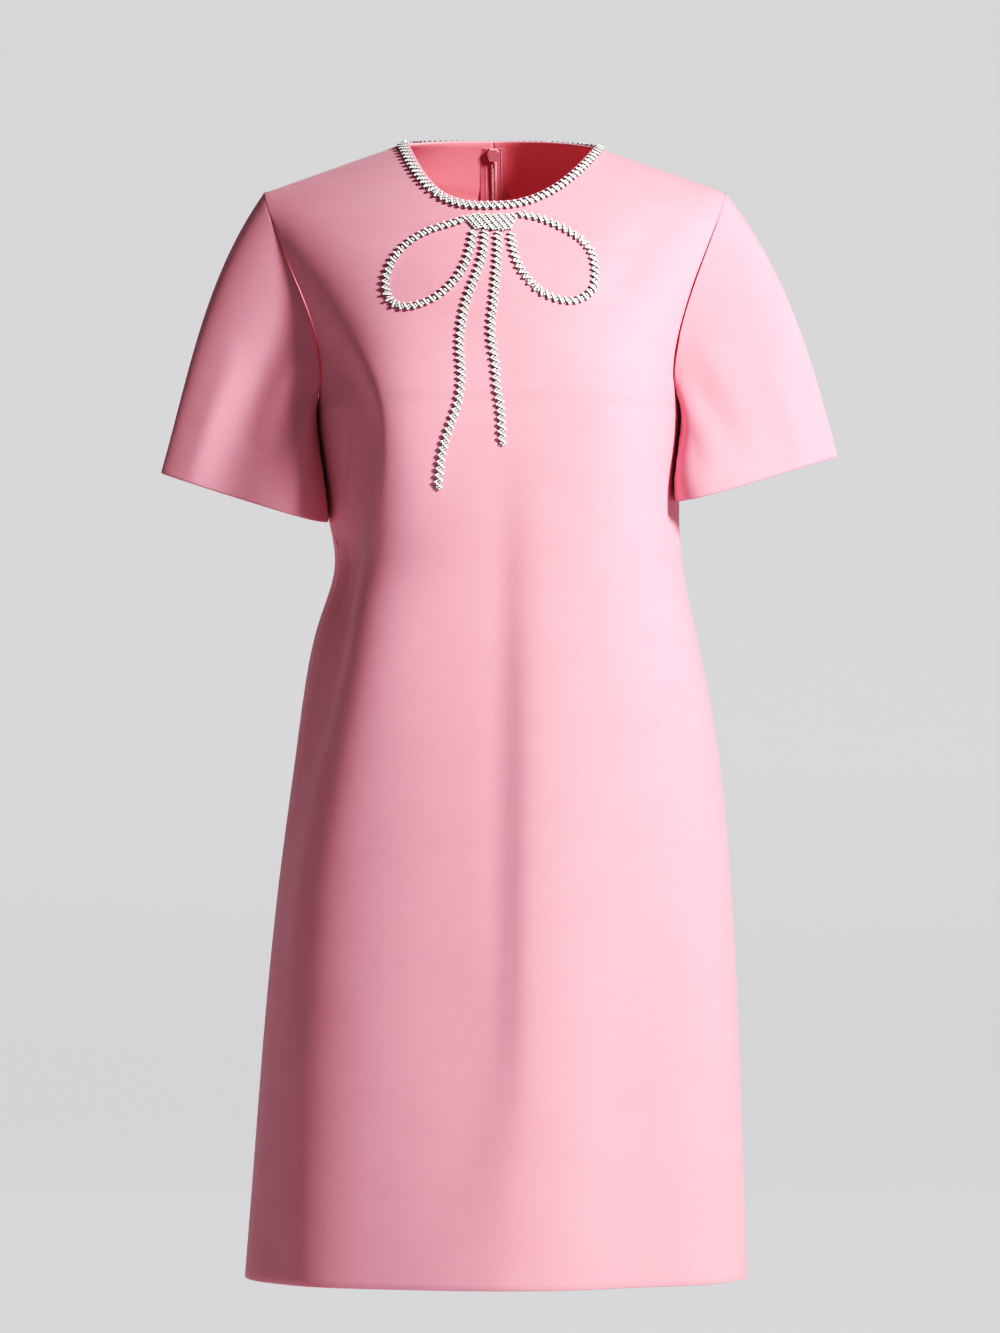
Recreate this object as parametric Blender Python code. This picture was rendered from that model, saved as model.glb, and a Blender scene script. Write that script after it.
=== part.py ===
"""Shift dress in its worn form: front, two backs, set-in sleeves, stone trim with a bow, and a back zip.

Metres, +Z up, the front faces -Y. z = 0 is where the shoulder seams meet the neck. Left is -X.

Each panel is a graph over the front view. Below the arms, a section of the body is a superellipse,
    x = centre + half * sin(turn) ** (2 / SQUARE),   y = -front or +back * cos(turn) ** (2 / SQUARE),
and above the bust the depth falls away to nothing at the shoulder ridge. A panel's rows are numbered by
their level: 0 is the hem, 1 the underarm, 2 the shoulder tip and 3 the neckline.
"""

import math

import bmesh
import bpy
import numpy as np
from mathutils import Vector
from mathutils.bvhtree import BVHTree

CLOTH = 0.0016          # thickness of the cloth wall
SEAM = 0.0003           # gap between two pieces at a seam
SQUARE = 2.3            # exponent of a body section, 2 would be an ellipse

HEM = -0.906            # height of the hem at the side seams
HEM_TILT = 0.006        # the hem is this much higher at the centre front, and lower at the back
UNDERARM = -0.217
TIP = -0.0392           # height of the shoulder tips
TIP_HALF = 0.1848       # half the width across the shoulder tips
YOKE_CENTRE = -0.0042   # x midway between the shoulder tips
RIDGE_Y = 0.006         # the shoulder seams lie in this plane
RIDGE_ROUND = 0.010     # rounds the ridge line where it would meet over the neck
BACK_RIDGE_RISE = 0.008  # lifts the ridge line over the neck, which rounds the back of the neck hole

FRONT_NECK = -0.052     # lowest point of the neckline
BACK_NECK = 0.008
FRONT_NECK_X = -0.0064
BACK_NECK_X = -0.0057
NECK_LEFT = -0.0736     # x of the neck ends of the shoulder seams
NECK_RIGHT = 0.0752
FRONT_LEVEL = -0.205    # the depth is full below this height
BACK_LEVEL = -0.160
FRONT_FALL = 1.5        # exponent of the fall from the bust to the ridge
BACK_FALL = 2.3

SKIRT_ROWS = 20
ARM_ROWS = 10
SHOULDER_ROWS = 5
FRONT_COLUMNS = 34
BACK_COLUMNS = 15
SLEEVE_ROWS = 11

TRIM_EDGE = 0.0022      # plain cloth between the neckline and the trim
TRIM_WIDTH = 0.0088
TRIM_HEIGHT = 0.0024
TRIM_LIFT = 0.0003      # from the cloth to the underside of the trim
BOW_WIDTH = 0.0078
BOW_LIFT = 0.0005

ZIP_GAP = 0.0003        # between the two backs along the zip
ZIP_GAP_TOP = 0.0016    # the backs part by this much where the slider's stem passes
ZIP_LOW = -0.520        # lower end of the zip
TAPE_REACH = 0.0105     # from the centre back to the tape's outer edge
TAPE = 0.0006
COIL_REACH = 0.0027
COIL = 0.0020

SLIDER_Z = -0.0005      # middle of the slider
SLIDER_WIDTH = 0.0090
SLIDER_HEIGHT = 0.0110
SLIDER_DEPTH = 0.0024
SLIDER_CLEAR = 0.0011   # from the tapes to the slider's flat side
STEM_WIDTH = 0.0010
STEM_HEIGHT = 0.0060
BAIL_RADIUS = 0.0024    # the bail is half a ring, standing on the stem
BAIL_WIRE = 0.0005
PULL_LENGTH = 0.0165
PULL_WIDTH = 0.0052
PULL_THICK = 0.0010
PULL_EYE_WIDTH = 0.0026
PULL_EYE_HEIGHT = 0.0034
PULL_BAR = 0.0012       # height of the bar above the eye, on which the pull swings


def table(columns, rows):
    """Named columns from rows of numbers."""
    return {name: np.array([row[i] for row in rows]) for i, name in enumerate(columns)}


# Sections of the body. From the underarm up, the two half widths are those of the whole chest and back,
# which the armholes then cut short. seam_turn is where the side seam lies, in degrees from the centre front.
BODY = table(
    ("height", "centre", "front_half", "back_half", "front", "back", "seam_turn"),
    (
        (-0.9120, -0.0036, 0.2009, 0.2009, 0.1400, 0.1300, 90),
        (-0.8100, -0.0013, 0.1952, 0.1952, 0.1385, 0.1290, 90),
        (-0.6900, 0.0014, 0.1884, 0.1884, 0.1370, 0.1290, 90),
        (-0.5800, 0.0040, 0.1794, 0.1794, 0.1350, 0.1300, 88),
        (-0.4900, 0.0056, 0.1690, 0.1690, 0.1330, 0.1260, 78),
        (-0.4300, 0.0047, 0.1598, 0.1598, 0.1315, 0.1140, 75),
        (-0.3800, 0.0050, 0.1488, 0.1488, 0.1300, 0.1010, 73),
        (-0.3380, 0.0068, 0.1388, 0.1388, 0.1290, 0.0930, 73),
        (-0.3000, 0.0030, 0.1402, 0.1402, 0.1300, 0.0970, 80),
        (-0.2500, 0.0000, 0.1450, 0.1450, 0.1320, 0.1050, 87),
        (-0.2170, -0.0010, 0.1475, 0.1475, 0.1315, 0.1090, 90),
        (-0.1890, -0.0020, 0.1475, 0.1540, 0.1300, 0.1110, 90),
        (-0.1500, -0.0024, 0.1555, 0.1660, 0.1280, 0.1110, 90),
        (-0.1050, -0.0040, 0.1740, 0.1820, 0.1250, 0.1080, 90),
        (-0.0680, -0.0044, 0.1900, 0.1930, 0.1230, 0.1040, 90),
        (-0.0392, -0.0042, 0.2000, 0.2000, 0.1220, 0.1010, 90),
        (0.0080, -0.0042, 0.2060, 0.2060, 0.1220, 0.0960, 90),
    ),
)

# Where the armhole cuts the sections, in degrees from the centre front or the centre back.
ARMHOLE = table(
    ("height", "front_turn", "back_turn"),
    (
        (-0.2170, 90.0, 90.0),
        (-0.2150, 82.0, 83.0),
        (-0.2095, 75.5, 77.0),
        (-0.2000, 71.5, 72.5),
        (-0.1850, 69.0, 69.0),
        (-0.1500, 67.5, 66.5),
        (-0.1050, 66.3, 66.0),
        (-0.0392, 66.0, 66.0),
    ),
)

# The largest folds. Each row is a station along the fold, from its top down: the height, x, the width of
# its left and right slopes, and how far it stands out, negative for a trough.
STATION = ("height", "x", "left", "right", "rise")
FRONT_FOLDS = {
    "left_bust_ridge": (
        (-0.050, -0.162, 0.016, 0.040, 0.0000),
        (-0.080, -0.154, 0.016, 0.046, 0.0030),
        (-0.120, -0.138, 0.016, 0.052, 0.0055),
        (-0.165, -0.108, 0.016, 0.056, 0.0085),
        (-0.215, -0.085, 0.016, 0.058, 0.0115),
        (-0.265, -0.083, 0.016, 0.058, 0.0120),
        (-0.320, -0.090, 0.016, 0.058, 0.0115),
        (-0.430, -0.109, 0.018, 0.058, 0.0100),
        (-0.560, -0.140, 0.022, 0.060, 0.0090),
        (-0.740, -0.150, 0.026, 0.060, 0.0075),
        (-0.912, -0.148, 0.028, 0.054, 0.0055),
    ),
    "left_flank": (
        (-0.150, -0.124, 0.016, 0.018, 0.0000),
        (-0.230, -0.116, 0.018, 0.022, -0.0030),
        (-0.330, -0.117, 0.016, 0.022, -0.0040),
        (-0.450, -0.136, 0.018, 0.024, -0.0045),
        (-0.600, -0.168, 0.018, 0.022, -0.0030),
        (-0.912, -0.180, 0.020, 0.024, -0.0025),
    ),
    "left_chest": (
        (-0.070, -0.168, 0.020, 0.020, 0.0000),
        (-0.120, -0.150, 0.020, 0.022, -0.0040),
        (-0.165, -0.130, 0.020, 0.022, -0.0040),
        (-0.215, -0.116, 0.020, 0.020, 0.0000),
    ),
    "right_chest": (
        (-0.050, 0.132, 0.018, 0.022, 0.0000),
        (-0.085, 0.113, 0.018, 0.022, -0.0028),
        (-0.125, 0.094, 0.018, 0.022, -0.0024),
        (-0.165, 0.080, 0.018, 0.022, 0.0000),
    ),
    "right_bust_ridge": (
        (-0.165, 0.084, 0.026, 0.022, 0.0000),
        (-0.230, 0.088, 0.030, 0.024, 0.0030),
        (-0.430, 0.104, 0.036, 0.026, 0.0020),
        (-0.700, 0.120, 0.040, 0.030, 0.0000),
    ),
    "centre_crease": (
        (-0.240, 0.002, 0.016, 0.010, 0.0000),
        (-0.340, 0.002, 0.016, 0.011, -0.0012),
        (-0.540, 0.002, 0.016, 0.012, -0.0026),
        (-0.700, 0.001, 0.018, 0.013, -0.0022),
        (-0.820, -0.002, 0.030, 0.018, 0.0000),
    ),
    "centre_ridge": (
        (-0.240, 0.034, 0.020, 0.050, 0.0000),
        (-0.360, 0.033, 0.028, 0.054, 0.0045),
        (-0.560, 0.026, 0.034, 0.058, 0.0080),
        (-0.760, 0.018, 0.036, 0.062, 0.0095),
        (-0.912, 0.010, 0.050, 0.066, 0.0100),
    ),
    "right_plane": (
        (-0.420, 0.112, 0.036, 0.030, 0.0000),
        (-0.560, 0.112, 0.038, 0.032, -0.0030),
        (-0.740, 0.112, 0.040, 0.034, -0.0050),
        (-0.912, 0.114, 0.042, 0.036, -0.0060),
    ),
    "hem_ridge": (
        (-0.700, -0.046, 0.044, 0.036, 0.0000),
        (-0.800, -0.048, 0.046, 0.036, 0.0020),
        (-0.912, -0.050, 0.048, 0.038, 0.0040),
    ),
}
BACK_FOLDS = {
    "left_ridge": (
        (-0.260, -0.070, 0.024, 0.026, 0.0000),
        (-0.400, -0.078, 0.026, 0.028, 0.0030),
        (-0.650, -0.100, 0.030, 0.034, 0.0055),
        (-0.912, -0.112, 0.034, 0.038, 0.0075),
    ),
    "right_ridge": (
        (-0.280, 0.074, 0.024, 0.024, 0.0000),
        (-0.420, 0.082, 0.026, 0.026, 0.0028),
        (-0.650, 0.094, 0.032, 0.030, 0.0048),
        (-0.912, 0.102, 0.036, 0.034, 0.0068),
    ),
    "left_hollow": (
        (-0.420, -0.040, 0.020, 0.018, 0.0000),
        (-0.620, -0.046, 0.024, 0.020, -0.0026),
        (-0.912, -0.052, 0.028, 0.022, -0.0042),
    ),
    "right_hollow": (
        (-0.470, 0.044, 0.018, 0.022, 0.0000),
        (-0.660, 0.046, 0.020, 0.024, -0.0024),
        (-0.912, 0.050, 0.022, 0.028, -0.0040),
    ),
}

# The two cuffs: centre, tilt of the cuff line down towards the body, and half its width and depth.
CUFFS = {
    -1: {"centre": (-0.2024, -0.0250, -0.2840), "tilt": 15.9, "half_width": 0.0699, "half_depth": 0.0430},
    1: {"centre": (0.2018, -0.0380, -0.2696), "tilt": 15.0, "half_width": 0.0680, "half_depth": 0.0430},
}
CUFF_SAG = 0.10         # the front of a cuff hangs lower than its back, by this share of the depth
CAP_OUT = 0.062         # how strongly the sleeve head leaves the shoulder sideways
CAP_UP = 0.020
CLEAR_TOP = 0.0012      # from the sleeve to the body, at the armhole and at the cuff
CLEAR_CUFF = 0.0030
CLEAR_BELOW = -0.200    # under this height the sleeve is kept clear of the body

# Bow loops: a teardrop on an axis that droops from the level by an angle in degrees.
BOW_LOOPS = {
    "left": {"side": -1, "start": (-0.0173, -0.0690), "length": 0.0930, "bulge": 0.0276, "droop": 41},
    "right": {"side": 1, "start": (0.0030, -0.0705), "length": 0.0880, "bulge": 0.0304, "droop": 37},
}
LOOP_ENDS = (32, 320)   # degrees of the teardrop where the loop leaves the knot and comes back to it
BOW_TAILS = {
    "left": ((-0.0102, -0.0808), (-0.0146, -0.1080), (-0.0268, -0.1330), (-0.0318, -0.1690),
             (-0.0312, -0.2100), (-0.0410, -0.2350), (-0.0480, -0.2610), (-0.0488, -0.2800)),
    "right": ((-0.0026, -0.0808), (-0.0014, -0.0990), (-0.0050, -0.1210), (-0.0072, -0.1500),
              (-0.0052, -0.1900), (-0.0025, -0.2180), (0.0018, -0.2460)),
}
TAIL_START = 0.66       # share of the band's width where a tail leaves the knot
KNOT = ((-0.0262, -0.0668), (-0.0180, -0.0653), (-0.0064, -0.0649), (0.0050, -0.0653), (0.0120, -0.0667),
        (0.0120, -0.0722), (0.0080, -0.0802), (-0.0064, -0.0802), (-0.0222, -0.0802), (-0.0262, -0.0722))


# ---------------------------------------------------------------- curves and sections

def spline(knots, values, at):
    """Natural cubic spline through (knots, values), read at `at`; values may have several columns."""
    knots, values = np.asarray(knots, float), np.asarray(values, float)
    if knots[0] > knots[-1]:
        knots, values = knots[::-1], values[::-1]
    step = np.diff(knots)
    slope = np.diff(values, axis=0) / step.reshape(-1, *[1] * (values.ndim - 1))
    system = np.eye(len(knots))
    target = np.zeros_like(values)
    for i in range(1, len(knots) - 1):
        system[i, i - 1:i + 2] = step[i - 1], 2 * (step[i - 1] + step[i]), step[i]
        target[i] = 6 * (slope[i] - slope[i - 1])
    bend = np.linalg.solve(system, target)
    at = np.clip(at, knots[0], knots[-1])
    i = np.clip(np.searchsorted(knots, at) - 1, 0, len(knots) - 2)
    h, a, b = step[i], knots[i + 1] - at, at - knots[i]
    if values.ndim > 1:
        h, a, b = h[..., None], a[..., None], b[..., None]
    curve = (bend[i] * a**3 + bend[i + 1] * b**3) / (6 * h)
    return curve + (values[i] / h - bend[i] * h / 6) * a + (values[i + 1] / h - bend[i + 1] * h / 6) * b


def body(name, z):
    return spline(BODY["height"], BODY[name], z)


def smooth_step(t):
    t = np.clip(t, 0, 1)
    return t * t * (3 - 2 * t)


def power(value, exponent):
    """Signed power, so that a sine keeps its side."""
    return np.sign(value) * np.abs(value) ** exponent


def ridge(x):
    """Height of the shoulder ridge over x: two straight slopes, rounded where they would meet."""
    def reach(distance):
        return np.sqrt(distance**2 + RIDGE_ROUND**2)
    neck_half = (NECK_RIGHT - NECK_LEFT) / 2
    slope = TIP / (reach(TIP_HALF) - reach(neck_half))
    return slope * (reach(x - YOKE_CENTRE) - reach(neck_half))


def fold_height(stations, x, z):
    """How far one fold lifts the cloth: a bell across the fold, its size read along it."""
    fold = table(STATION, stations)
    place, left, right, rise = (
        spline(fold["height"], fold[name], z) for name in ("x", "left", "right", "rise")
    )
    inside = (z <= fold["height"][0]) & (z >= fold["height"][-1])
    off = x - place
    return np.where(inside, rise * np.exp(-((off / np.where(off < 0, left, right)) ** 2)), 0)


# ---------------------------------------------------------------- the body panels

def yoke_depth(side, x, z):
    """y of the cloth above the underarm, over a point of the front view. side is -1 in front, 1 behind."""
    half = body("front_half" if side < 0 else "back_half", z)
    depth = body("front" if side < 0 else "back", z)
    neck_half = (NECK_RIGHT - NECK_LEFT) / 2
    in_neck = np.clip(1 - ((x - YOKE_CENTRE) / neck_half) ** 2, 0, 1)
    full_level = FRONT_LEVEL if side < 0 else BACK_LEVEL
    fall = FRONT_FALL if side < 0 else BACK_FALL
    across = np.clip(np.abs(x - body("centre", z)) / half, 0, 1)
    plan = (1 - across**SQUARE) ** (1 / SQUARE)
    top = ridge(x) + (BACK_RIDGE_RISE * in_neck**2 if side > 0 else 0)
    down = np.clip((top - z) / (top - full_level), 0, 1)
    swell = (1 - (1 - down) ** fall) ** (1 / fall)
    return side * depth * swell * plan + RIDGE_Y * (1 - swell)


def skirt_points(side, across, level):
    """Points between the hem (level 0) and the underarm (level 1)."""
    centre_hem = HEM - side * HEM_TILT
    hem = centre_hem + (HEM - centre_hem) * np.abs(across) ** 2
    z = hem + (UNDERARM - hem) * level
    seam = np.radians(body("seam_turn", z))
    turn = across * (seam if side < 0 else math.pi - seam)
    cosine = power(np.cos(turn), 2 / SQUARE)
    depth = np.where(cosine * side > 0, body("back", z), body("front", z))
    x = body("centre", z) + body("front_half", z) * power(np.sin(turn), 2 / SQUARE)
    return np.stack([x, side * depth * cosine, z], axis=-1)


def yoke_points(side, across, level):
    """Points between the underarm (level 1), the shoulder tip (level 2) and the neckline (level 3)."""
    arm, shoulder = np.clip(level - 1, 0, 1), np.clip(level - 2, 0, 1)
    neck_z, neck_x = (FRONT_NECK, FRONT_NECK_X) if side < 0 else (BACK_NECK, BACK_NECK_X)
    chest_z = -0.118 if side < 0 else -0.098
    left = across < 0

    # the edge of the panel: up the armhole, then in along the shoulder ridge
    edge_z = UNDERARM + (TIP - UNDERARM) * (1 - np.cos(arm * math.pi / 2))
    turn = np.radians(spline(ARMHOLE["height"], ARMHOLE["front_turn" if side < 0 else "back_turn"], edge_z))
    half = body("front_half" if side < 0 else "back_half", edge_z) * np.sin(turn) ** (2 / SQUARE)
    edge_x = body("centre", edge_z) + np.where(left, -half, half)
    neck_edge = np.where(left, NECK_LEFT, NECK_RIGHT)
    edge_x = edge_x + (neck_edge - edge_x) * shoulder
    edge_z = np.where(shoulder > 0, ridge(edge_x), edge_z)

    # the middle of the row, and the row itself, which bends from level to the neckline's curve
    middle_z = np.where(shoulder > 0, chest_z + (neck_z - chest_z) * shoulder,
                        UNDERARM + (chest_z - UNDERARM) * arm)
    middle_x = body("centre", middle_z) * (1 - shoulder) + neck_x * shoulder
    spread = np.radians(90 - 20 * np.sin(math.pi * arm) ** 2)
    fraction = (np.sin(np.abs(across) * spread) / np.sin(spread)) ** (2 / SQUARE)
    neck_curve = 2.6 if side > 0 else np.where(left, 2.8, 2.3)
    bend = 2 + (neck_curve - 2) * shoulder
    x = middle_x + (edge_x - middle_x) * fraction
    z = middle_z + (edge_z - middle_z) * fraction**bend
    return np.stack([x, yoke_depth(side, x, z), z], axis=-1)


def panel_points(side, across, level):
    """Points of the front (side -1) or back (side 1) cloth, with its folds."""
    across, level = np.broadcast_arrays(across, level)
    skirt = skirt_points(side, across, np.clip(level, 0, 1))
    yoke = yoke_points(side, across, np.clip(level, 1, 3))
    points = np.where((level <= 1)[..., None], skirt, yoke)
    lift = np.zeros_like(level, dtype=float)
    for stations in (FRONT_FOLDS if side < 0 else BACK_FOLDS).values():
        lift = lift + fold_height(stations, points[..., 0], points[..., 2])
    lift = lift * smooth_step((1 - np.abs(across)) / 0.12)
    return points + grid_normals(points, side) * lift[..., None]


def grid_normals(points, side=-1):
    """Outward normals of a grid of rows and columns; side is -1 where columns run left to right in front."""
    along, up = np.gradient(points, axis=1), np.gradient(points, axis=0)
    normals = np.cross(along, up) * -side
    return normals / np.linalg.norm(normals, axis=-1, keepdims=True)


def panel_levels(side, across):
    """Levels of a panel's rows. The last three lie along the trim's outer edge, inner edge and neckline."""
    rows = [np.linspace(0, 1, SKIRT_ROWS + 1), 1 + np.linspace(0, 1, ARM_ROWS + 1)[1:],
            2 + np.linspace(0, 0.82, SHOULDER_ROWS + 1)[1:]]
    levels = np.concatenate(rows)[:, None] * np.ones_like(across)
    nearly = 2.97
    pace = np.linalg.norm(panel_points_row(side, across, 3.0) - panel_points_row(side, across, nearly), axis=-1)
    for distance in (TRIM_EDGE + TRIM_WIDTH, TRIM_EDGE, 0):
        levels = np.vstack([levels, 3 - distance * (3 - nearly) / pace])
    return levels


def panel_points_row(side, across, level):
    """One row of a panel without its folds, for measuring distances from the neckline."""
    return yoke_points(side, across, np.full_like(across, level))


def unit(vectors):
    return vectors / np.maximum(np.linalg.norm(vectors, axis=-1, keepdims=True), 1e-12)


def drawn_in(edge, inner, distance):
    """The edge points, moved towards the next ones by a distance."""
    return edge + unit(inner - edge) * distance


# ---------------------------------------------------------------- sleeves

def sleeve_points(side, ring):
    """Rows from the armhole ring to the cuff. The ring starts at the underarm and goes round by the front."""
    cuff = CUFFS[side]
    angle = np.linspace(0, 2 * math.pi, len(ring) + 1)[:-1][:, None]
    tilt = math.radians(cuff["tilt"])
    inward = np.array([-side * math.cos(tilt), 0, -math.sin(tilt)])
    forward = np.array([0, -1, -CUFF_SAG])
    axis = np.array([side * math.sin(tilt), 0, -math.cos(tilt)])
    end = (np.array(cuff["centre"]) + inward * cuff["half_width"] * np.cos(angle)
           + forward * cuff["half_depth"] * np.sin(angle))
    chord = end - ring
    head = ((1 - np.cos(angle)) / 2) ** 1.5
    leave = chord + head * np.array([side * CAP_OUT, 0, CAP_UP])
    arrive = axis * np.linalg.norm(chord, axis=1, keepdims=True)
    t = np.linspace(0, 1, SLEEVE_ROWS + 1)[:, None, None]
    points = ((2 * t**3 - 3 * t**2 + 1) * ring + (t**3 - 2 * t**2 + t) * leave
              + (3 * t**2 - 2 * t**3) * end + (t**3 - t**2) * arrive)
    clearance = CLEAR_TOP + (CLEAR_CUFF - CLEAR_TOP) * np.clip(t[1:, :, 0] * 2, 0, 1)
    points[1:] = pushed_clear(points[1:], clearance)
    return points


def pushed_clear(points, clearance):
    """Points below the armholes that lie within the body or closer than the clearance, moved straight out."""
    x, y, z = points[..., 0], points[..., 1], points[..., 2]
    centre = body("centre", z)
    half = np.where(y < 0, body("front_half", z), body("back_half", z)) + clearance
    depth = np.where(y < 0, body("front", z), body("back", z)) + clearance
    reach = (np.abs((x - centre) / half) ** SQUARE + np.abs(y / depth) ** SQUARE) ** (1 / SQUARE)
    scale = np.where((z < CLEAR_BELOW) & (reach < 1), 1 / np.maximum(reach, 0.2), 1)
    return np.stack([centre + (x - centre) * scale, y * scale, z], axis=-1)


# ---------------------------------------------------------------- making solids

def seam_offset(first, second, outward):
    """Directions of the wall's edge where two pieces meet, for each: mitred where the seam is a ridge.

    outward is the way the first piece's cloth runs as it reaches the seam.
    """
    facing = np.sum(first * second, axis=-1, keepdims=True)
    ridged = (np.sum(outward * second, axis=-1, keepdims=True) > 0) & (facing > 0)
    mitre = (first + second) / np.maximum(1 + facing, 0.5)
    return np.where(ridged, mitre, first), np.where(ridged, mitre, second)


def make_object(name, vertices, faces, material, smooth_angle=40):
    mesh = bpy.data.meshes.new(name)
    mesh.from_pydata([tuple(map(float, v)) for v in vertices], [], faces)
    tidy = bmesh.new()
    tidy.from_mesh(mesh)
    bmesh.ops.recalc_face_normals(tidy, faces=tidy.faces)
    tidy.to_mesh(mesh)
    tidy.free()
    mesh.materials.append(material)
    mesh.shade_smooth()
    mesh.set_sharp_from_angle(angle=math.radians(smooth_angle))
    thing = bpy.data.objects.new(name, mesh)
    bpy.context.scene.collection.objects.link(thing)
    return thing


def wall(name, outer, inner, material, ring=False):
    """A closed wall between two grids of the same shape; a ring's columns join up."""
    rows, columns = outer.shape[:2]
    count = rows * columns
    vertices = np.concatenate([outer.reshape(-1, 3), inner.reshape(-1, 3)])
    faces = []
    last = columns if ring else columns - 1
    for r in range(rows - 1):
        for c in range(last):
            a, b = r * columns + c, r * columns + (c + 1) % columns
            d, e = a + columns, b + columns
            faces += [(a, b, e, d), (count + d, count + e, count + b, count + a)]
    border = [[(0, c) for c in range(last + 1)], [(rows - 1, c) for c in range(last + 1)]]
    if not ring:
        border += [[(r, 0) for r in range(rows)], [(r, columns - 1) for r in range(rows)]]
    for line in border:
        for (r, c), (s, d) in zip(line, line[1:]):
            a, b = r * columns + c % columns, s * columns + d % columns
            faces.append((a, b, count + b, count + a))
    return make_object(name, vertices, faces, material)


def bar(name, corners, material):
    """A closed bar through rows of four corners, with an end face at each end."""
    rows = len(corners)
    faces = [(0, 1, 2, 3), tuple(4 * (rows - 1) + k for k in (3, 2, 1, 0))]
    for r in range(rows - 1):
        for k in range(4):
            a, b = 4 * r + k, 4 * r + (k + 1) % 4
            faces.append((a, b, b + 4, a + 4))
    return make_object(name, np.asarray(corners).reshape(-1, 3), faces, material)


def make_material(name, colour, roughness, metallic=0.0):
    material = bpy.data.materials.new(name)
    material.use_nodes = True
    shader = material.node_tree.nodes["Principled BSDF"]
    shader.inputs["Base Color"].default_value = (*colour, 1)
    shader.inputs["Roughness"].default_value = roughness
    shader.inputs["Metallic"].default_value = metallic
    material.diffuse_color = (*colour, 1)
    return material


# ---------------------------------------------------------------- the cloth pieces

def zip_gap(z):
    """Width of the opening along the centre back: the backs part a little at the top of the zip."""
    return ZIP_GAP + (ZIP_GAP_TOP - ZIP_GAP) * smooth_step((z + 0.022) / 0.014)


def cloth_grids():
    """Outer points and wall directions of the front, the backs and the sleeves."""
    grids = {}
    for name, side, across in (
        ("front", -1, np.linspace(-1, 1, FRONT_COLUMNS + 1)),
        ("back_left", 1, np.linspace(-1, 0, BACK_COLUMNS + 1)),
        ("back_right", 1, np.linspace(0, 1, BACK_COLUMNS + 1)),
    ):
        points = panel_points(side, across, panel_levels(side, across))
        grids[name] = {"points": points, "offset": grid_normals(points, side)}
    front, left, right = grids["front"], grids["back_left"], grids["back_right"]

    # both sides of a side or shoulder seam, and of the zip, share their wall directions
    middle = unit(left["offset"][:, -1] + right["offset"][:, 0])
    left["offset"][:, -1], right["offset"][:, 0] = middle, middle
    arm = slice(SKIRT_ROWS, SKIRT_ROWS + ARM_ROWS + 1)
    for back, column, sleeve, side in ((left, 0, "sleeve_left", -1), (right, -1, "sleeve_right", 1)):
        shared = unit(front["offset"][:, column] + back["offset"][:, column])
        for panel in (front, back):
            keep = panel["offset"][arm, column].copy()
            panel["offset"][:, column] = shared
            panel["offset"][arm, column][1:-1] = keep[1:-1]
        grids[sleeve] = sleeve_grid(front, back, column, arm, side)

    for name, columns in (("front", ((0, 1), (-1, -2))), ("back_left", ((0, 1),)), ("back_right", ((-1, -2),))):
        points = grids[name]["points"]
        for edge, inner in columns:
            points[:, edge] = drawn_in(points[:, edge], points[:, inner], SEAM / 2)
    for panel, column, way in ((left, -1, -1), (right, 0, 1)):
        points = panel["points"]
        points[:, column, 0] += way * zip_gap(points[:, column, 2]) / 2
    return grids


def sleeve_grid(front, back, column, arm, side):
    """The sleeve from the armhole's own points, with the wall directions matched along the armhole."""
    ring = np.concatenate([front["points"][arm, column], back["points"][arm, column][-2:0:-1]])
    points = sleeve_points(side, ring)
    looped = np.concatenate([points[:, -1:], points, points[:, :1]], axis=1)
    offset = grid_normals(looped, side)[:, 1:-1]

    steps = ARM_ROWS
    step_in = -1 if column else 1
    body_offset = np.concatenate([front["offset"][arm, column], back["offset"][arm, column][-2:0:-1]])
    outward = unit(np.concatenate([
        front["points"][arm, column] - front["points"][arm, column + step_in],
        (back["points"][arm, column] - back["points"][arm, column + step_in])[-2:0:-1],
    ]))
    body_edge, sleeve_edge = seam_offset(body_offset, offset[0], outward)
    offset[0] = sleeve_edge
    front["offset"][arm, column] = body_edge[:steps + 1]
    back["offset"][arm, column][1:-1] = body_edge[steps + 1:][::-1]
    back["offset"][arm, column][[0, -1]] = body_edge[[0, steps]]
    # under the arm the sleeve folds back along the body, so its edge is also lifted off the body's face
    under = (1 + np.cos(np.linspace(0, 2 * math.pi, len(ring) + 1)[:-1, None])) / 2
    points[0] = drawn_in(points[0], points[1], SEAM) + body_offset * under * 2 * SEAM
    return {"points": points, "offset": offset}


def make_cloth(cloth):
    grids = cloth_grids()
    for name, grid in grids.items():
        inner = grid["points"] - grid["offset"] * CLOTH
        grid["object"] = wall(name, grid["points"], inner, cloth, ring=name.startswith("sleeve"))
    return grids


# ---------------------------------------------------------------- trims

def make_neck_trim(grids, stones):
    """The band between the panels' own rows at the trim's two edges, moved out along their normals."""
    corners = []
    for name, order in (("back_left", slice(None, None, -1)), ("front", slice(None)),
                        ("back_right", slice(None, None, -1))):
        grid = grids[name]
        outer, inner = grid["points"][-3, order], grid["points"][-2, order]
        up_outer, up_inner = grid["offset"][-3, order], grid["offset"][-2, order]
        rows = np.stack([outer + up_outer * TRIM_LIFT, inner + up_inner * TRIM_LIFT,
                         inner + up_inner * (TRIM_LIFT + TRIM_HEIGHT),
                         outer + up_outer * (TRIM_LIFT + TRIM_HEIGHT)], axis=1)
        if name == "back_left":
            rows[0] += (rows[1] - rows[0]) * 0.25
            rows = rows[:-1]
        if name == "back_right":
            rows[-1] += (rows[-2] - rows[-1]) * 0.25
            rows = rows[1:]
        corners.append(rows)
    bar("neck_trim", np.concatenate(corners), stones)


def tree_of(thing):
    return BVHTree.FromPolygons([v.co for v in thing.data.vertices], [tuple(p.vertices) for p in thing.data.polygons])


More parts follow.
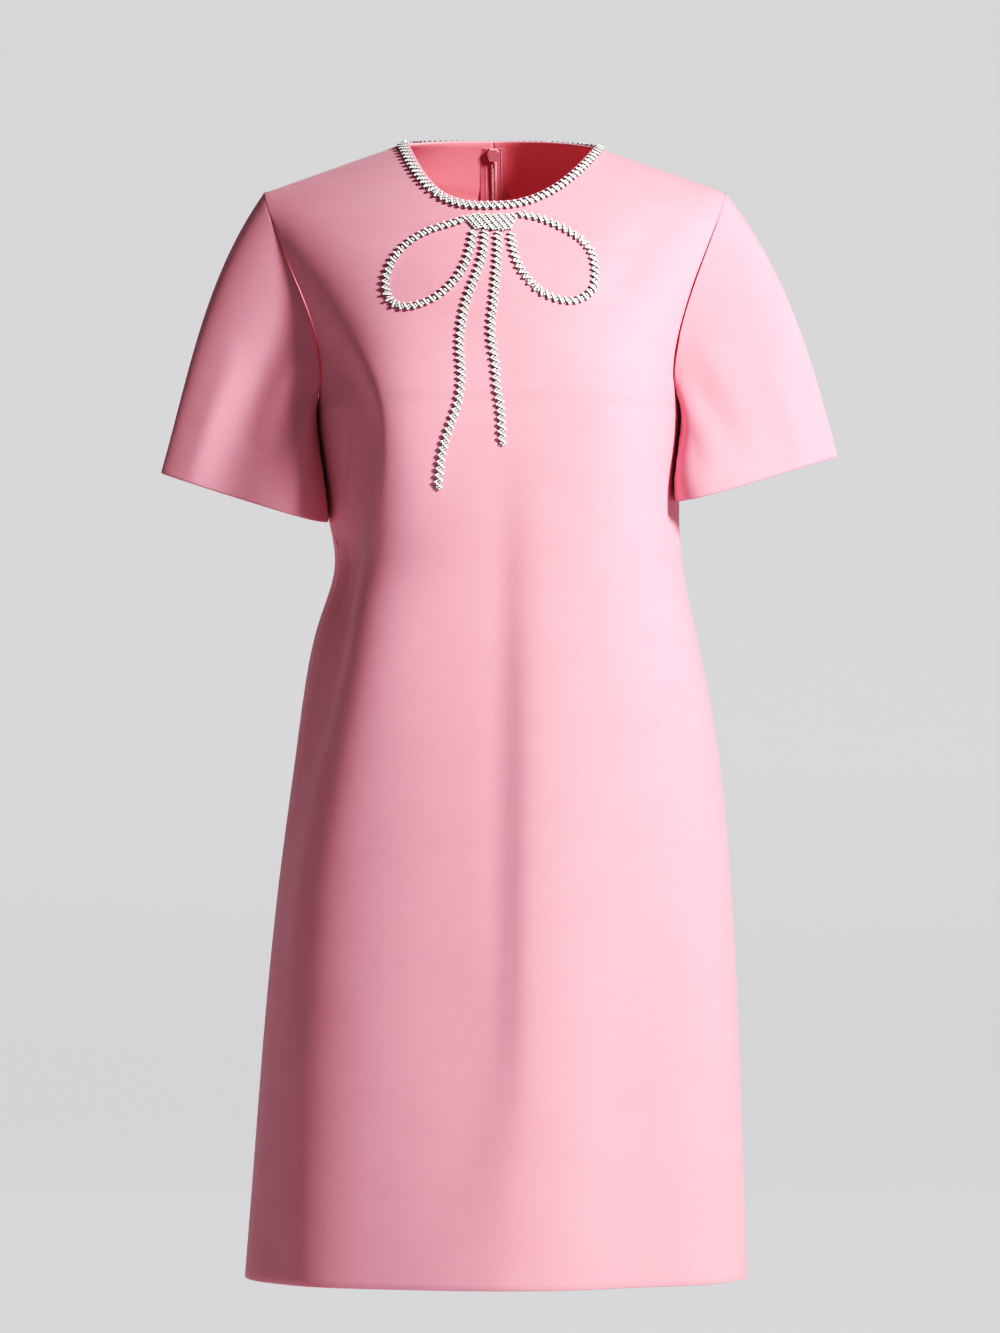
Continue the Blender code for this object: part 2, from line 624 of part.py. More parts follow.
def on_cloth(tree, x, z):
    """The point of the front cloth that shows at x, z in the front view."""
    hit = tree.ray_cast(Vector((x, -1, z)), Vector((0, 1, 0)))[0]
    return np.array(hit)


def cloth_normal(x, z):
    """Outward normal of the front at x, z, from its depth a little way to each side."""
    step = 0.004
    slope_x = (yoke_depth(-1, x + step, z) - yoke_depth(-1, x - step, z)) / (2 * step)
    slope_z = (yoke_depth(-1, x, z + step) - yoke_depth(-1, x, z - step)) / (2 * step)
    return unit(np.array([slope_x, -1.0, slope_z]))


def band_corners(tree, path, widths):
    """Four corners at each point of a path over the front: two on the cloth, two above them."""
    path = np.asarray(path)
    ways = unit(np.gradient(path, axis=0))
    corners = []
    for (x, z), (way_x, way_z), width in zip(path, ways, widths):
        across = np.array([-way_z, way_x]) * width / 2
        up = cloth_normal(x, z)
        left, right = (on_cloth(tree, x + s * across[0], z + s * across[1]) for s in (-1, 1))
        corners.append([left + up * BOW_LIFT, right + up * BOW_LIFT,
                        right + up * (BOW_LIFT + TRIM_HEIGHT), left + up * (BOW_LIFT + TRIM_HEIGHT)])
    return corners


def teardrop(loop, steps=30):
    """A bow loop: along = length (1 - cos a) / 2, aside = bulge sin a sin(a / 2) ** 0.6, for a round the loop."""
    angle = np.radians(np.linspace(*LOOP_ENDS, steps + 1))
    along = loop["length"] * (1 - np.cos(angle)) / 2
    aside = loop["bulge"] * np.sin(angle) * np.sin(angle / 2) ** 0.6
    droop = math.radians(loop["droop"])
    x = loop["start"][0] + loop["side"] * (along * math.cos(droop) + aside * math.sin(droop))
    z = loop["start"][1] - along * math.sin(droop) + aside * math.cos(droop)
    return np.stack([x, z], axis=-1)


def tail_path(stations, steps=16):
    stations = np.array(stations)
    return spline(np.arange(len(stations)), stations, np.linspace(0, len(stations) - 1, steps + 1))


def make_bow(front, stones):
    tree = tree_of(front)
    for name, loop in BOW_LOOPS.items():
        path = teardrop(loop)
        bar("bow_loop_" + name, band_corners(tree, path, np.full(len(path), BOW_WIDTH)), stones)
    for name, stations in BOW_TAILS.items():
        path = tail_path(stations)
        widths = BOW_WIDTH * (TAIL_START + (1 - TAIL_START) * smooth_step(np.linspace(0, 5, len(path))))
        bar("bow_tail_" + name, band_corners(tree, path, widths), stones)
    rim = [(on_cloth(tree, x, z), cloth_normal(x, z)) for x, z in KNOT]
    low = [point + up * BOW_LIFT for point, up in rim]
    high = [point + up * (BOW_LIFT + TRIM_HEIGHT) for point, up in rim]
    count = len(KNOT)
    middle = np.mean(KNOT, axis=0)
    centre, up = on_cloth(tree, *middle), cloth_normal(*middle)
    vertices = low + high + [centre + up * BOW_LIFT, centre + up * (BOW_LIFT + TRIM_HEIGHT)]
    faces = []
    for k in range(count):
        n = (k + 1) % count
        faces += [(k, n, count + n, count + k), (n, k, 2 * count), (count + k, count + n, 2 * count + 1)]
    make_object("bow_knot", vertices, faces, stones)


# ---------------------------------------------------------------- zip

def back_line(z):
    """The back's outer point and normal at the centre back, for heights above and below the underarm."""
    z = np.asarray(z, float)
    x = body("centre", z) + (BACK_NECK_X - YOKE_CENTRE) * smooth_step((z - UNDERARM) / (BACK_NECK - UNDERARM))

    def depth(height):
        return np.where(height > UNDERARM, yoke_depth(1, body("centre", height), height), body("back", height))
    step = 0.004
    slope = (depth(z + step) - depth(z - step)) / (2 * step)
    normal = unit(np.stack([np.zeros_like(z), np.ones_like(z), -slope], axis=-1))
    return np.stack([x, depth(z), z], axis=-1), normal


def make_zip_tapes(grids, tape):
    """Each half: a flat tape inside the back, with the coil along its inner edge up to the slider."""
    step_at = SLIDER_Z - SLIDER_HEIGHT / 2 - SEAM
    for name, side, column, inner_column in (("left", -1, -1, -2), ("right", 1, 0, 1)):
        grid = grids["back_" + name]
        heights = grid["points"][:, column, 2]
        rows = np.where((heights > ZIP_LOW))[0][:-1]
        edge, beside = grid["points"][rows, column], grid["points"][rows, inner_column]
        offset = grid["offset"][rows, column]
        way = unit(beside - edge)
        heights = heights[rows]
        extra = np.searchsorted(heights, step_at)
        share = (step_at - heights[extra - 1]) / (heights[extra] - heights[extra - 1])
        joined = []
        for values in (edge, way, offset):
            cut = values[extra - 1] + (values[extra] - values[extra - 1]) * share
            joined.append(np.insert(values, extra, [cut, cut], axis=0))
        edge, way, offset = joined
        coil = np.where(np.arange(len(edge)) <= extra, COIL, TAPE)
        edge[extra + 1] += (edge[extra + 2] - edge[extra + 1]) * 0.02
        corners = []
        for point, along, out, thick in zip(edge, way, offset, coil):
            face = point - out * (CLOTH + SEAM)
            reaches = ((0, 0), (0, thick), (COIL_REACH, thick), (COIL_REACH, TAPE), (TAPE_REACH, TAPE), (TAPE_REACH, 0))
            if thick == TAPE:
                reaches = ((0, 0), (0, TAPE), (COIL_REACH / 2, TAPE), (COIL_REACH, TAPE), (TAPE_REACH, TAPE), (TAPE_REACH, 0))
            corners.append([face + along * reach - out * depth for reach, depth in reaches])
        profile_bar("zip_tape_" + name, corners, tape)


def profile_bar(name, corners, material):
    """A closed bar through rows of any number of corners."""
    rows, sides = len(corners), len(corners[0])
    faces = [tuple(range(sides)), tuple(sides * (rows - 1) + k for k in reversed(range(sides)))]
    for r in range(rows - 1):
        for k in range(sides):
            a, b = sides * r + k, sides * r + (k + 1) % sides
            faces.append((a, b, b + sides, a + sides))
    return make_object(name, np.asarray(corners).reshape(-1, 3), faces, material)


def prism(outline, low, high, hole=None):
    """A plate in the XZ plane: an outline of (x, z) points between two y values, with a hole if given."""
    shape = bmesh.new()
    loops = [[shape.verts.new((x, y, z)) for x, z in outline] for y in (low, high)]
    count = len(outline)
    for k in range(count):
        shape.faces.new((loops[0][k], loops[0][(k + 1) % count], loops[1][(k + 1) % count], loops[1][k]))
    if hole is None:
        shape.faces.new(loops[0])
        shape.faces.new(loops[1])
    else:
        inner = [[shape.verts.new((x, y, z)) for x, z in hole] for y in (low, high)]
        for k in range(count):
            n = (k + 1) % count
            shape.faces.new((inner[0][k], inner[0][n], inner[1][n], inner[1][k]))
            for a, b in zip(loops, inner):
                shape.faces.new((a[k], a[n], b[n], b[k]))
    bmesh.ops.recalc_face_normals(shape, faces=shape.faces)
    mesh = bpy.data.meshes.new("plate")
    shape.to_mesh(mesh)
    shape.free()
    return mesh


def half_ring(radius, wire, steps=10, sides=8):
    """The bail: a wire bent over in the YZ plane from one foot to the other, its feet a little sunk."""
    rows = []
    for k in range(steps + 1):
        angle = math.pi * k / steps
        for m in range(sides):
            turn = 2 * math.pi * m / sides
            reach = radius + wire * math.cos(turn)
            rows.append((wire * math.sin(turn), reach * math.sin(angle), reach * math.cos(angle)))
    for m in range(sides):
        for row, sign in ((m, 1), (steps * sides + m, 1)):
            x, y, z = rows[row]
            rows[row] = (x, y - 0.0003 * sign, z)
    faces = [tuple(range(sides)), tuple(steps * sides + m for m in reversed(range(sides)))]
    for k in range(steps):
        for m in range(sides):
            a, b = k * sides + m, k * sides + (m + 1) % sides
            faces.append((a, b, b + sides, a + sides))
    mesh = bpy.data.meshes.new("bail")
    mesh.from_pydata(rows, [], faces)
    tidy = bmesh.new()
    tidy.from_mesh(mesh)
    bmesh.ops.recalc_face_normals(tidy, faces=tidy.faces)
    tidy.to_mesh(mesh)
    tidy.free()
    return mesh


def joined(name, meshes, material):
    """One object from meshes that overlap, by Boolean union."""
    things = []
    for k, mesh in enumerate(meshes):
        mesh.materials.clear()
        mesh.materials.append(material)
        thing = bpy.data.objects.new(name if k == 0 else f"{name}_cut_{k}", mesh)
        bpy.context.scene.collection.objects.link(thing)
        things.append(thing)
    for cutter in things[1:]:
        union = things[0].modifiers.new("union", "BOOLEAN")
        union.operation = "UNION"
        union.object = cutter
        cutter.hide_render = True
        cutter.display_type = "WIRE"
    return things[0]


def zip_place():
    """Where the slider's stem leaves the cloth: a point on the back's outer face and the way it leans."""
    point, normal = back_line(SLIDER_Z)
    lean = math.atan2(normal[2], normal[1])
    return Vector(point), lean


def make_slider(metal):
    """Shield-shaped body inside the back, a thin stem through the gap and a bail outside."""
    point, lean = zip_place()
    half, tall = SLIDER_WIDTH / 2, SLIDER_HEIGHT / 2
    inside = -(CLOTH + SEAM + TAPE + SLIDER_CLEAR)
    shield = [(-half * 0.62, tall), (half * 0.62, tall), (half, tall * 0.55), (half, tall * 0.05),
              (half * 0.62, -tall), (-half * 0.62, -tall), (-half, tall * 0.05), (-half, tall * 0.55)]
    body_plate = prism(shield, inside - SLIDER_DEPTH, inside)
    reach = BAIL_WIRE
    stem_half = STEM_HEIGHT / 2
    stem = prism([(-STEM_WIDTH / 2, -stem_half), (STEM_WIDTH / 2, -stem_half),
                  (STEM_WIDTH / 2, stem_half), (-STEM_WIDTH / 2, stem_half)], inside - 0.0005, reach)
    bail = half_ring(BAIL_RADIUS, BAIL_WIRE)
    for vertex in bail.vertices:
        vertex.co.y += reach
    slider = joined("zip_slider", [body_plate, stem, bail], metal)
    for thing in bpy.context.scene.objects:
        if thing.name.startswith("zip_slider"):
            thing.location = point
            thing.rotation_euler = (lean, 0, 0)
    return slider


def make_pull(metal):
    """A flat tab that hangs from the bail; its object origin is on the axis it swings about."""
    point, lean = zip_place()
    half, eye_half = PULL_WIDTH / 2, PULL_EYE_WIDTH / 2
    top = PULL_BAR / 2
    eye_top, eye_low = -top, -top - PULL_EYE_HEIGHT
    low = top - PULL_LENGTH
    neck = eye_half + 0.0008
    outline = [(-neck, top), (neck, top), (neck, eye_low), (half, low + 0.0045),
               (half * 0.55, low), (-half * 0.55, low), (-half, low + 0.0045), (-neck, eye_low)]
    hole = [(-eye_half, eye_top), (eye_half, eye_top), (eye_half, eye_low * 0.66), (eye_half * 0.7, eye_low),
            (eye_half * 0.3, eye_low), (-eye_half * 0.3, eye_low), (-eye_half * 0.7, eye_low),
            (-eye_half, eye_low * 0.66)]
    mesh = prism(outline, -PULL_THICK / 2, PULL_THICK / 2, hole)
    mesh.materials.append(metal)
    pull = bpy.data.objects.new("zip_pull", mesh)
    out = Vector((0, math.cos(lean), math.sin(lean)))
    pull.location = point + out * (BAIL_WIRE + PULL_THICK / 2 + 0.0005)
    pull.rotation_euler = (lean, 0, 0)
    bpy.context.scene.collection.objects.link(pull)
    return pull


# ---------------------------------------------------------------- the whole dress

def clear_scene():
    for thing in list(bpy.data.objects):
        bpy.data.objects.remove(thing, do_unlink=True)


def main():
    clear_scene()
    cloth = make_material("pink_cloth", (0.86, 0.47, 0.56), 0.55)
    stones = make_material("stone_trim", (0.82, 0.82, 0.84), 0.2, 0.6)
    tape = make_material("zip_tape", (0.86, 0.50, 0.58), 0.8)
    metal = make_material("painted_zip", (0.90, 0.60, 0.66), 0.35)
    grids = make_cloth(cloth)
    make_neck_trim(grids, stones)
    make_bow(grids["front"]["object"], stones)
    make_zip_tapes(grids, tape)
    make_slider(metal)
    make_pull(metal)


main()
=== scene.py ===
import math

import bpy
import numpy as np
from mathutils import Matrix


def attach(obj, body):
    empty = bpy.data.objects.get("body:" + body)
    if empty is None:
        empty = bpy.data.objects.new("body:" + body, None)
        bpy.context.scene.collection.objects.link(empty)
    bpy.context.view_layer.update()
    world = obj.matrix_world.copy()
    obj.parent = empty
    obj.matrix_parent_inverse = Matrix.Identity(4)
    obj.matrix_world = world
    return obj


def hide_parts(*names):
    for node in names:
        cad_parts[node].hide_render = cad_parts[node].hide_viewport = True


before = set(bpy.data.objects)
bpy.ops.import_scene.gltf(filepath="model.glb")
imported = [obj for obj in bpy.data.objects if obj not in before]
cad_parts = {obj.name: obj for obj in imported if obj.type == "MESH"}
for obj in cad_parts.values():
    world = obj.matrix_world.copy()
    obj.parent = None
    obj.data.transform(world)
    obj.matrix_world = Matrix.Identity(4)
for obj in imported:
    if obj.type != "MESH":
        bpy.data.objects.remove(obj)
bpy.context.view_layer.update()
print("frame loaded")

# ---------- camera, light and room

cameraSet = {"distance": 4.0, "height": -0.4184, "frameHeight": 1.0664}
lightSet = {
    "key": {"azimuth": 50, "elevation": 28, "distance": 3.6, "size": 0.6, "power": 134,
            "colour": (1, 0.97, 0.95)},
    "fill": {"azimuth": -30, "elevation": 12, "distance": 4.5, "size": 3.0, "power": 6,
             "colour": (0.94, 1, 1)},
    "top": {"azimuth": 15, "elevation": 78, "distance": 3.0, "size": 2.4, "power": 6,
            "colour": (1, 0.98, 0.97)},
}
roomSet = {"grey": (0.25, 0.25, 0.256), "glow": 0.442, "air": 0.04, "floor": -1.42, "wall": 6.0, "bend": 0.8,
           "side": 13.0, "front": -7.0, "top": 8.5}
# camera response, from scene light to shown light: dark tones pulled down, light ones rolled off
toneCurve = ((0.0, 0.0), (0.06, 0.014), (0.123, 0.051), (0.225, 0.19), (0.314, 0.355), (0.4, 0.5),
             (0.571, 0.72), (0.7, 0.9), (0.85, 0.985), (1.0, 1.0))


def aimAt(thing, target):
    # turns a lamp so that it shines at the target
    away = np.array(thing.location) - np.array(target)
    flat = math.hypot(away[0], away[1])
    thing.rotation_euler = (math.atan2(flat, away[2]), 0, math.atan2(away[0], -away[1]))


def makeCameraAndLight():
    scene = bpy.context.scene
    camera = bpy.data.objects.new("camera", bpy.data.cameras.new("camera"))
    camera.location = (0, -cameraSet["distance"], cameraSet["height"])
    camera.rotation_euler = (math.pi / 2, 0, 0)
    camera.data.sensor_fit = "VERTICAL"
    camera.data.sensor_height = 24
    camera.data.lens = 24 * cameraSet["distance"] / cameraSet["frameHeight"]
    scene.collection.objects.link(camera)
    scene.camera = camera
    for name, light in lightSet.items():
        lamp = bpy.data.objects.new(name, bpy.data.lights.new(name, "AREA"))
        turn, rise = math.radians(light["azimuth"]), math.radians(light["elevation"])
        reach = light["distance"]
        lamp.location = (reach * math.sin(turn) * math.cos(rise), -reach * math.cos(turn) * math.cos(rise),
                         cameraSet["height"] + reach * math.sin(rise))
        lamp.data.shape = "DISK"
        lamp.data.size = light["size"]
        lamp.data.energy = light["power"]
        lamp.data.color = light["colour"]
        aimAt(lamp, (0, 0, cameraSet["height"]))
        scene.collection.objects.link(lamp)
    world = bpy.data.worlds.new("air")
    world.use_nodes = True
    world.node_tree.nodes["Background"].inputs["Color"].default_value = (1, 0.99, 1, 1)
    world.node_tree.nodes["Background"].inputs["Strength"].default_value = roomSet["air"]
    scene.world = world
    scene.view_settings.view_transform = "Standard"
    scene.view_settings.use_curve_mapping = True
    curve = scene.view_settings.curve_mapping.curves[3]
    for place in toneCurve[1:-1]:
        curve.points.new(*place)
    curve.points[0].location = toneCurve[0]
    curve.points[len(toneCurve) - 1].location = toneCurve[-1]
    scene.view_settings.curve_mapping.update()


# ---------- arrays, curves and meshes

def naturalSpline(knots, values, at):
    # piecewise cubics through the knots, with no bend at the two ends; read at any array of places
    knots, values = np.asarray(knots, float), np.asarray(values, float)
    if knots[0] > knots[-1]:
        knots, values = knots[::-1], values[::-1]
    step = np.diff(knots)
    slope = np.diff(values, axis=0) / step.reshape(-1, *[1] * (values.ndim - 1))
    system, target = np.eye(len(knots)), np.zeros_like(values)
    for i in range(1, len(knots) - 1):
        system[i, i - 1:i + 2] = step[i - 1], 2 * (step[i - 1] + step[i]), step[i]
        target[i] = 6 * (slope[i] - slope[i - 1])
    bend = np.linalg.solve(system, target)
    at = np.clip(at, knots[0], knots[-1])
    i = np.clip(np.searchsorted(knots, at) - 1, 0, len(knots) - 2)
    h, a, b = step[i], knots[i + 1] - at, at - knots[i]
    if values.ndim > 1:
        h, a, b = h[..., None], a[..., None], b[..., None]
    curve = (bend[i] * a**3 + bend[i + 1] * b**3) / (6 * h)
    return curve + (values[i] / h - bend[i] * h / 6) * a + (values[i + 1] / h - bend[i + 1] * h / 6) * b


def smoothStep(t):
    t = np.clip(t, 0, 1)
    return t * t * (3 - 2 * t)


def power(value, exponent):
    return np.sign(value) * np.abs(value) ** exponent


def unit(vectors):
    return vectors / np.maximum(np.linalg.norm(vectors, axis=-1, keepdims=True), 1e-12)


def gridNormals(points, side, ring=False):
    # cross product of the grid's two directions; side is -1 where columns run right as seen from outside
    if ring:
        points = np.concatenate([points[:, -1:], points, points[:, :1]], axis=1)
    normals = unit(np.cross(np.gradient(points, axis=1), np.gradient(points, axis=0)) * -side)
    return normals[:, 1:-1] if ring else normals


def gridFaces(rows, columns, ring=False):
    # the four corners of every cell of a grid, by rows
    last = columns if ring else columns - 1
    r, c = np.meshgrid(np.arange(rows - 1), np.arange(last), indexing="ij")
    a, b = r * columns + c, r * columns + (c + 1) % columns
    return np.stack([a, b, b + columns, a + columns], axis=-1).reshape(-1, 4)


def meshPiece(name, vertices, faces, materials, slots=None, uv=None, smooth=True):
    # faces is one array of faces, or a list of them; all are turned over if their volume is negative
    parts = faces if isinstance(faces, list) else [faces]
    volume = 0.0
    for part in parts:
        for k in range(1, part.shape[1] - 1):
            a, b, c = vertices[part[:, 0]], vertices[part[:, k]], vertices[part[:, k + 1]]
            volume += np.sum(np.cross(a, b) * c)
    flip = volume < 0
    parts = [part[:, ::-1] if flip else part for part in parts]
    corners = np.concatenate([part.ravel() for part in parts]).astype(np.int32)
    sizes = np.concatenate([np.full(len(part), part.shape[1]) for part in parts])
    starts = np.concatenate([[0], np.cumsum(sizes)[:-1]]).astype(np.int32)
    mesh = bpy.data.meshes.new(name)
    mesh.vertices.add(len(vertices))
    mesh.vertices.foreach_set("co", np.asarray(vertices, np.float32).ravel())
    mesh.loops.add(len(corners))
    mesh.loops.foreach_set("vertex_index", corners)
    mesh.polygons.add(len(sizes))
    mesh.polygons.foreach_set("loop_start", starts)
    mesh.polygons.foreach_set("use_smooth", np.full(len(sizes), smooth))
    for material in materials:
        mesh.materials.append(material)
    if slots is not None:
        mesh.polygons.foreach_set("material_index", np.asarray(slots, np.int32))
    if uv is not None:
        mesh.uv_layers.new(name="cloth")
        mesh.uv_layers["cloth"].data.foreach_set("uv", np.asarray(uv, np.float32)[corners].ravel())
    mesh.update(calc_edges=True)
    mesh.validate()
    piece = bpy.data.objects.new(name, mesh)
    bpy.context.scene.collection.objects.link(piece)
    return piece


def shellPiece(name, outer, inner, uv, materials, ring=False):
    # a closed wall: outer grid, inner grid and a rim along every free border
    rows, columns = outer.shape[:2]
    count = rows * columns
    cells = gridFaces(rows, columns, ring)
    grid = np.arange(count).reshape(rows, columns)
    if ring:
        grid = np.concatenate([grid, grid[:, :1]], axis=1)
    borders = [grid[0], grid[-1][::-1]]
    if not ring:
        borders += [grid[::-1, 0], grid[:, -1]]
    rims = np.concatenate([np.stack([line[1:], line[:-1], count + line[:-1], count + line[1:]], axis=-1)
                           for line in borders])
    faces = np.concatenate([cells, count + cells[:, ::-1], rims])
    slots = np.concatenate([np.zeros(len(cells)), np.ones(len(cells)), np.zeros(len(rims))])
    vertices = np.concatenate([outer.reshape(-1, 3), inner.reshape(-1, 3)])
    return meshPiece(name, vertices, faces, materials, slots, np.concatenate([uv.reshape(-1, 2)] * 2))


# ---------- the dress as a surface

dressSet = {
    "square": 2.3, "hem": -0.906, "hemTilt": 0.006, "underarm": -0.217, "tip": -0.0392, "tipHalf": 0.1848,
    "yokeCentre": -0.0042, "ridgeY": 0.006, "ridgeRound": 0.010, "backRidgeRise": 0.008, "frontNeck": -0.052,
    "backNeck": 0.008, "frontNeckX": -0.0064, "backNeckX": -0.0057, "neckLeft": -0.0736, "neckRight": 0.0752,
    "frontLevel": -0.205, "backLevel": -0.160, "frontFall": 1.5, "backFall": 2.3, "frontChest": -0.118,
    "backChest": -0.098, "leftNeckBend": 3.2, "rightNeckBend": 2.3, "backNeckBend": 2.6,
    "cloth": 0.0013, "seam": 0.0003, "hemTurn": 0.0012, "hemDepth": 0.040, "facing": 0.0009,
    "facingDepth": 0.050, "cuffDepth": 0.025, "turnStep": 0.0025,
}
# sections of the body: height, centre, half width in front and behind, depth in front and behind,
# and the turn round the section at which the side seam lies
bodySections = np.array((
    (-0.9120, -0.0036, 0.2009, 0.2009, 0.1400, 0.1300, 90),
    (-0.8100, -0.0013, 0.1952, 0.1952, 0.1385, 0.1290, 90),
    (-0.6900, 0.0014, 0.1884, 0.1884, 0.1370, 0.1290, 90),
    (-0.5800, 0.0040, 0.1794, 0.1794, 0.1350, 0.1300, 88),
    (-0.4900, 0.0056, 0.1690, 0.1690, 0.1330, 0.1260, 78),
    (-0.4300, 0.0047, 0.1598, 0.1598, 0.1315, 0.1140, 75),
    (-0.3800, 0.0050, 0.1488, 0.1488, 0.1300, 0.1010, 73),
    (-0.3380, 0.0068, 0.1388, 0.1388, 0.1290, 0.0930, 73),
    (-0.3000, 0.0030, 0.1402, 0.1402, 0.1300, 0.0970, 80),
    (-0.2500, 0.0000, 0.1450, 0.1450, 0.1320, 0.1050, 87),
    (-0.2170, -0.0010, 0.1475, 0.1475, 0.1315, 0.1090, 90),
    (-0.1890, -0.0020, 0.1475, 0.1540, 0.1300, 0.1110, 90),
    (-0.1500, -0.0024, 0.1555, 0.1660, 0.1280, 0.1110, 90),
    (-0.1050, -0.0040, 0.1740, 0.1820, 0.1250, 0.1080, 90),
    (-0.0680, -0.0044, 0.1900, 0.1930, 0.1230, 0.1040, 90),
    (-0.0392, -0.0042, 0.2000, 0.2000, 0.1220, 0.1010, 90),
    (0.0080, -0.0042, 0.2060, 0.2060, 0.1220, 0.0960, 90),
))
sectionColumns = {"centre": 1, "frontHalf": 2, "backHalf": 3, "front": 4, "back": 5, "seamTurn": 6}
# the armhole's edge: height, and its turn round the body's section in front and behind
armholeTurns = np.array((
    (-0.2170, 90.0, 90.0), (-0.2150, 82.0, 83.0), (-0.2095, 75.5, 77.0), (-0.2000, 71.5, 72.5),
    (-0.1850, 69.0, 69.0), (-0.1500, 67.5, 66.5), (-0.1050, 66.3, 66.0), (-0.0392, 66.0, 66.0),
))


def body(name, z):
    return naturalSpline(bodySections[:, 0], bodySections[:, sectionColumns[name]], z)


def ridge(x):
    # two straight slopes down to the shoulder tips, rounded where they would meet over the neck
    d = dressSet
    rounded = lambda distance: np.sqrt(distance**2 + d["ridgeRound"] ** 2)
    neckHalf = (d["neckRight"] - d["neckLeft"]) / 2
    slope = d["tip"] / (rounded(d["tipHalf"]) - rounded(neckHalf))
    return slope * (rounded(x - d["yokeCentre"]) - rounded(neckHalf))


def clothY(side, x, z):
    # depth of the cloth over a point of the front view:
    # a superellipse across, times a fall to nothing at the shoulders' ridge
    d = dressSet
    n = d["square"]
    half = body("frontHalf" if side < 0 else "backHalf", z)
    depth = body("front" if side < 0 else "back", z)
    fullLevel, fall = (d["frontLevel"], d["frontFall"]) if side < 0 else (d["backLevel"], d["backFall"])
    across = np.clip(np.abs(x - body("centre", z)) / half, 0, 1)
    plan = (1 - across**n) ** (1 / n)
    neckHalf = (d["neckRight"] - d["neckLeft"]) / 2
    inNeck = np.clip(1 - ((x - d["yokeCentre"]) / neckHalf) ** 2, 0, 1)
    top = ridge(x) + (d["backRidgeRise"] * inNeck**2 if side > 0 else 0)
    down = np.clip((top - z) / (top - fullLevel), 0, 1)
    swell = (1 - (1 - down) ** fall) ** (1 / fall)
    return side * depth * swell * plan + d["ridgeY"] * (1 - swell)


def skirtPoints(side, across, level):
    # from hem to underarm:
    # x = centre + half * sin(turn) ** (2 / square), y = depth * cos(turn) ** (2 / square)
    d = dressSet
    centreHem = d["hem"] - side * d["hemTilt"]
    hem = centreHem + (d["hem"] - centreHem) * np.abs(across) ** 2
    z = hem + (d["underarm"] - hem) * level
    seam = np.radians(body("seamTurn", z))
    turn = across * (seam if side < 0 else math.pi - seam)
    cosine = power(np.cos(turn), 2 / d["square"])
    depth = np.where(cosine * side > 0, body("back", z), body("front", z))
    x = body("centre", z) + body("frontHalf", z) * power(np.sin(turn), 2 / d["square"])
    return np.stack([x, side * depth * cosine, z], axis=-1)


def yokePoints(side, across, level):
    # the edge goes up the armhole and in along the shoulder;
    # each row goes from the line at the underarm to the neckline's curve
    d = dressSet
    arm, shoulder = np.clip(level - 1, 0, 1), np.clip(level - 2, 0, 1)
    neckZ, neckX = (d["frontNeck"], d["frontNeckX"]) if side < 0 else (d["backNeck"], d["backNeckX"])
    chestZ = d["frontChest"] if side < 0 else d["backChest"]
    left = across < 0
    edgeZ = d["underarm"] + (d["tip"] - d["underarm"]) * (1 - np.cos(arm * math.pi / 2))
    turn = np.radians(naturalSpline(armholeTurns[:, 0], armholeTurns[:, 1 if side < 0 else 2], edgeZ))
    half = body("frontHalf" if side < 0 else "backHalf", edgeZ) * np.sin(turn) ** (2 / d["square"])
    edgeX = body("centre", edgeZ) + np.where(left, -half, half)
    edgeX = edgeX + (np.where(left, d["neckLeft"], d["neckRight"]) - edgeX) * shoulder
    edgeZ = np.where(shoulder > 0, ridge(edgeX), edgeZ)
    middleZ = np.where(shoulder > 0, chestZ + (neckZ - chestZ) * shoulder,
                       d["underarm"] + (chestZ - d["underarm"]) * arm)
    middleX = body("centre", middleZ) * (1 - shoulder) + neckX * shoulder
    spread = np.radians(90 - 20 * np.sin(math.pi * arm) ** 2)
    fraction = (np.sin(np.abs(across) * spread) / np.sin(spread)) ** (2 / d["square"])
    neckCurve = d["backNeckBend"] if side > 0 else np.where(left, d["leftNeckBend"], d["rightNeckBend"])
    bend = 2 + (neckCurve - 2) * shoulder
    x = middleX + (edgeX - middleX) * fraction
    z = middleZ + (edgeZ - middleZ) * fraction**bend
    return np.stack([x, clothY(side, x, z), z], axis=-1)


# ---------- folds

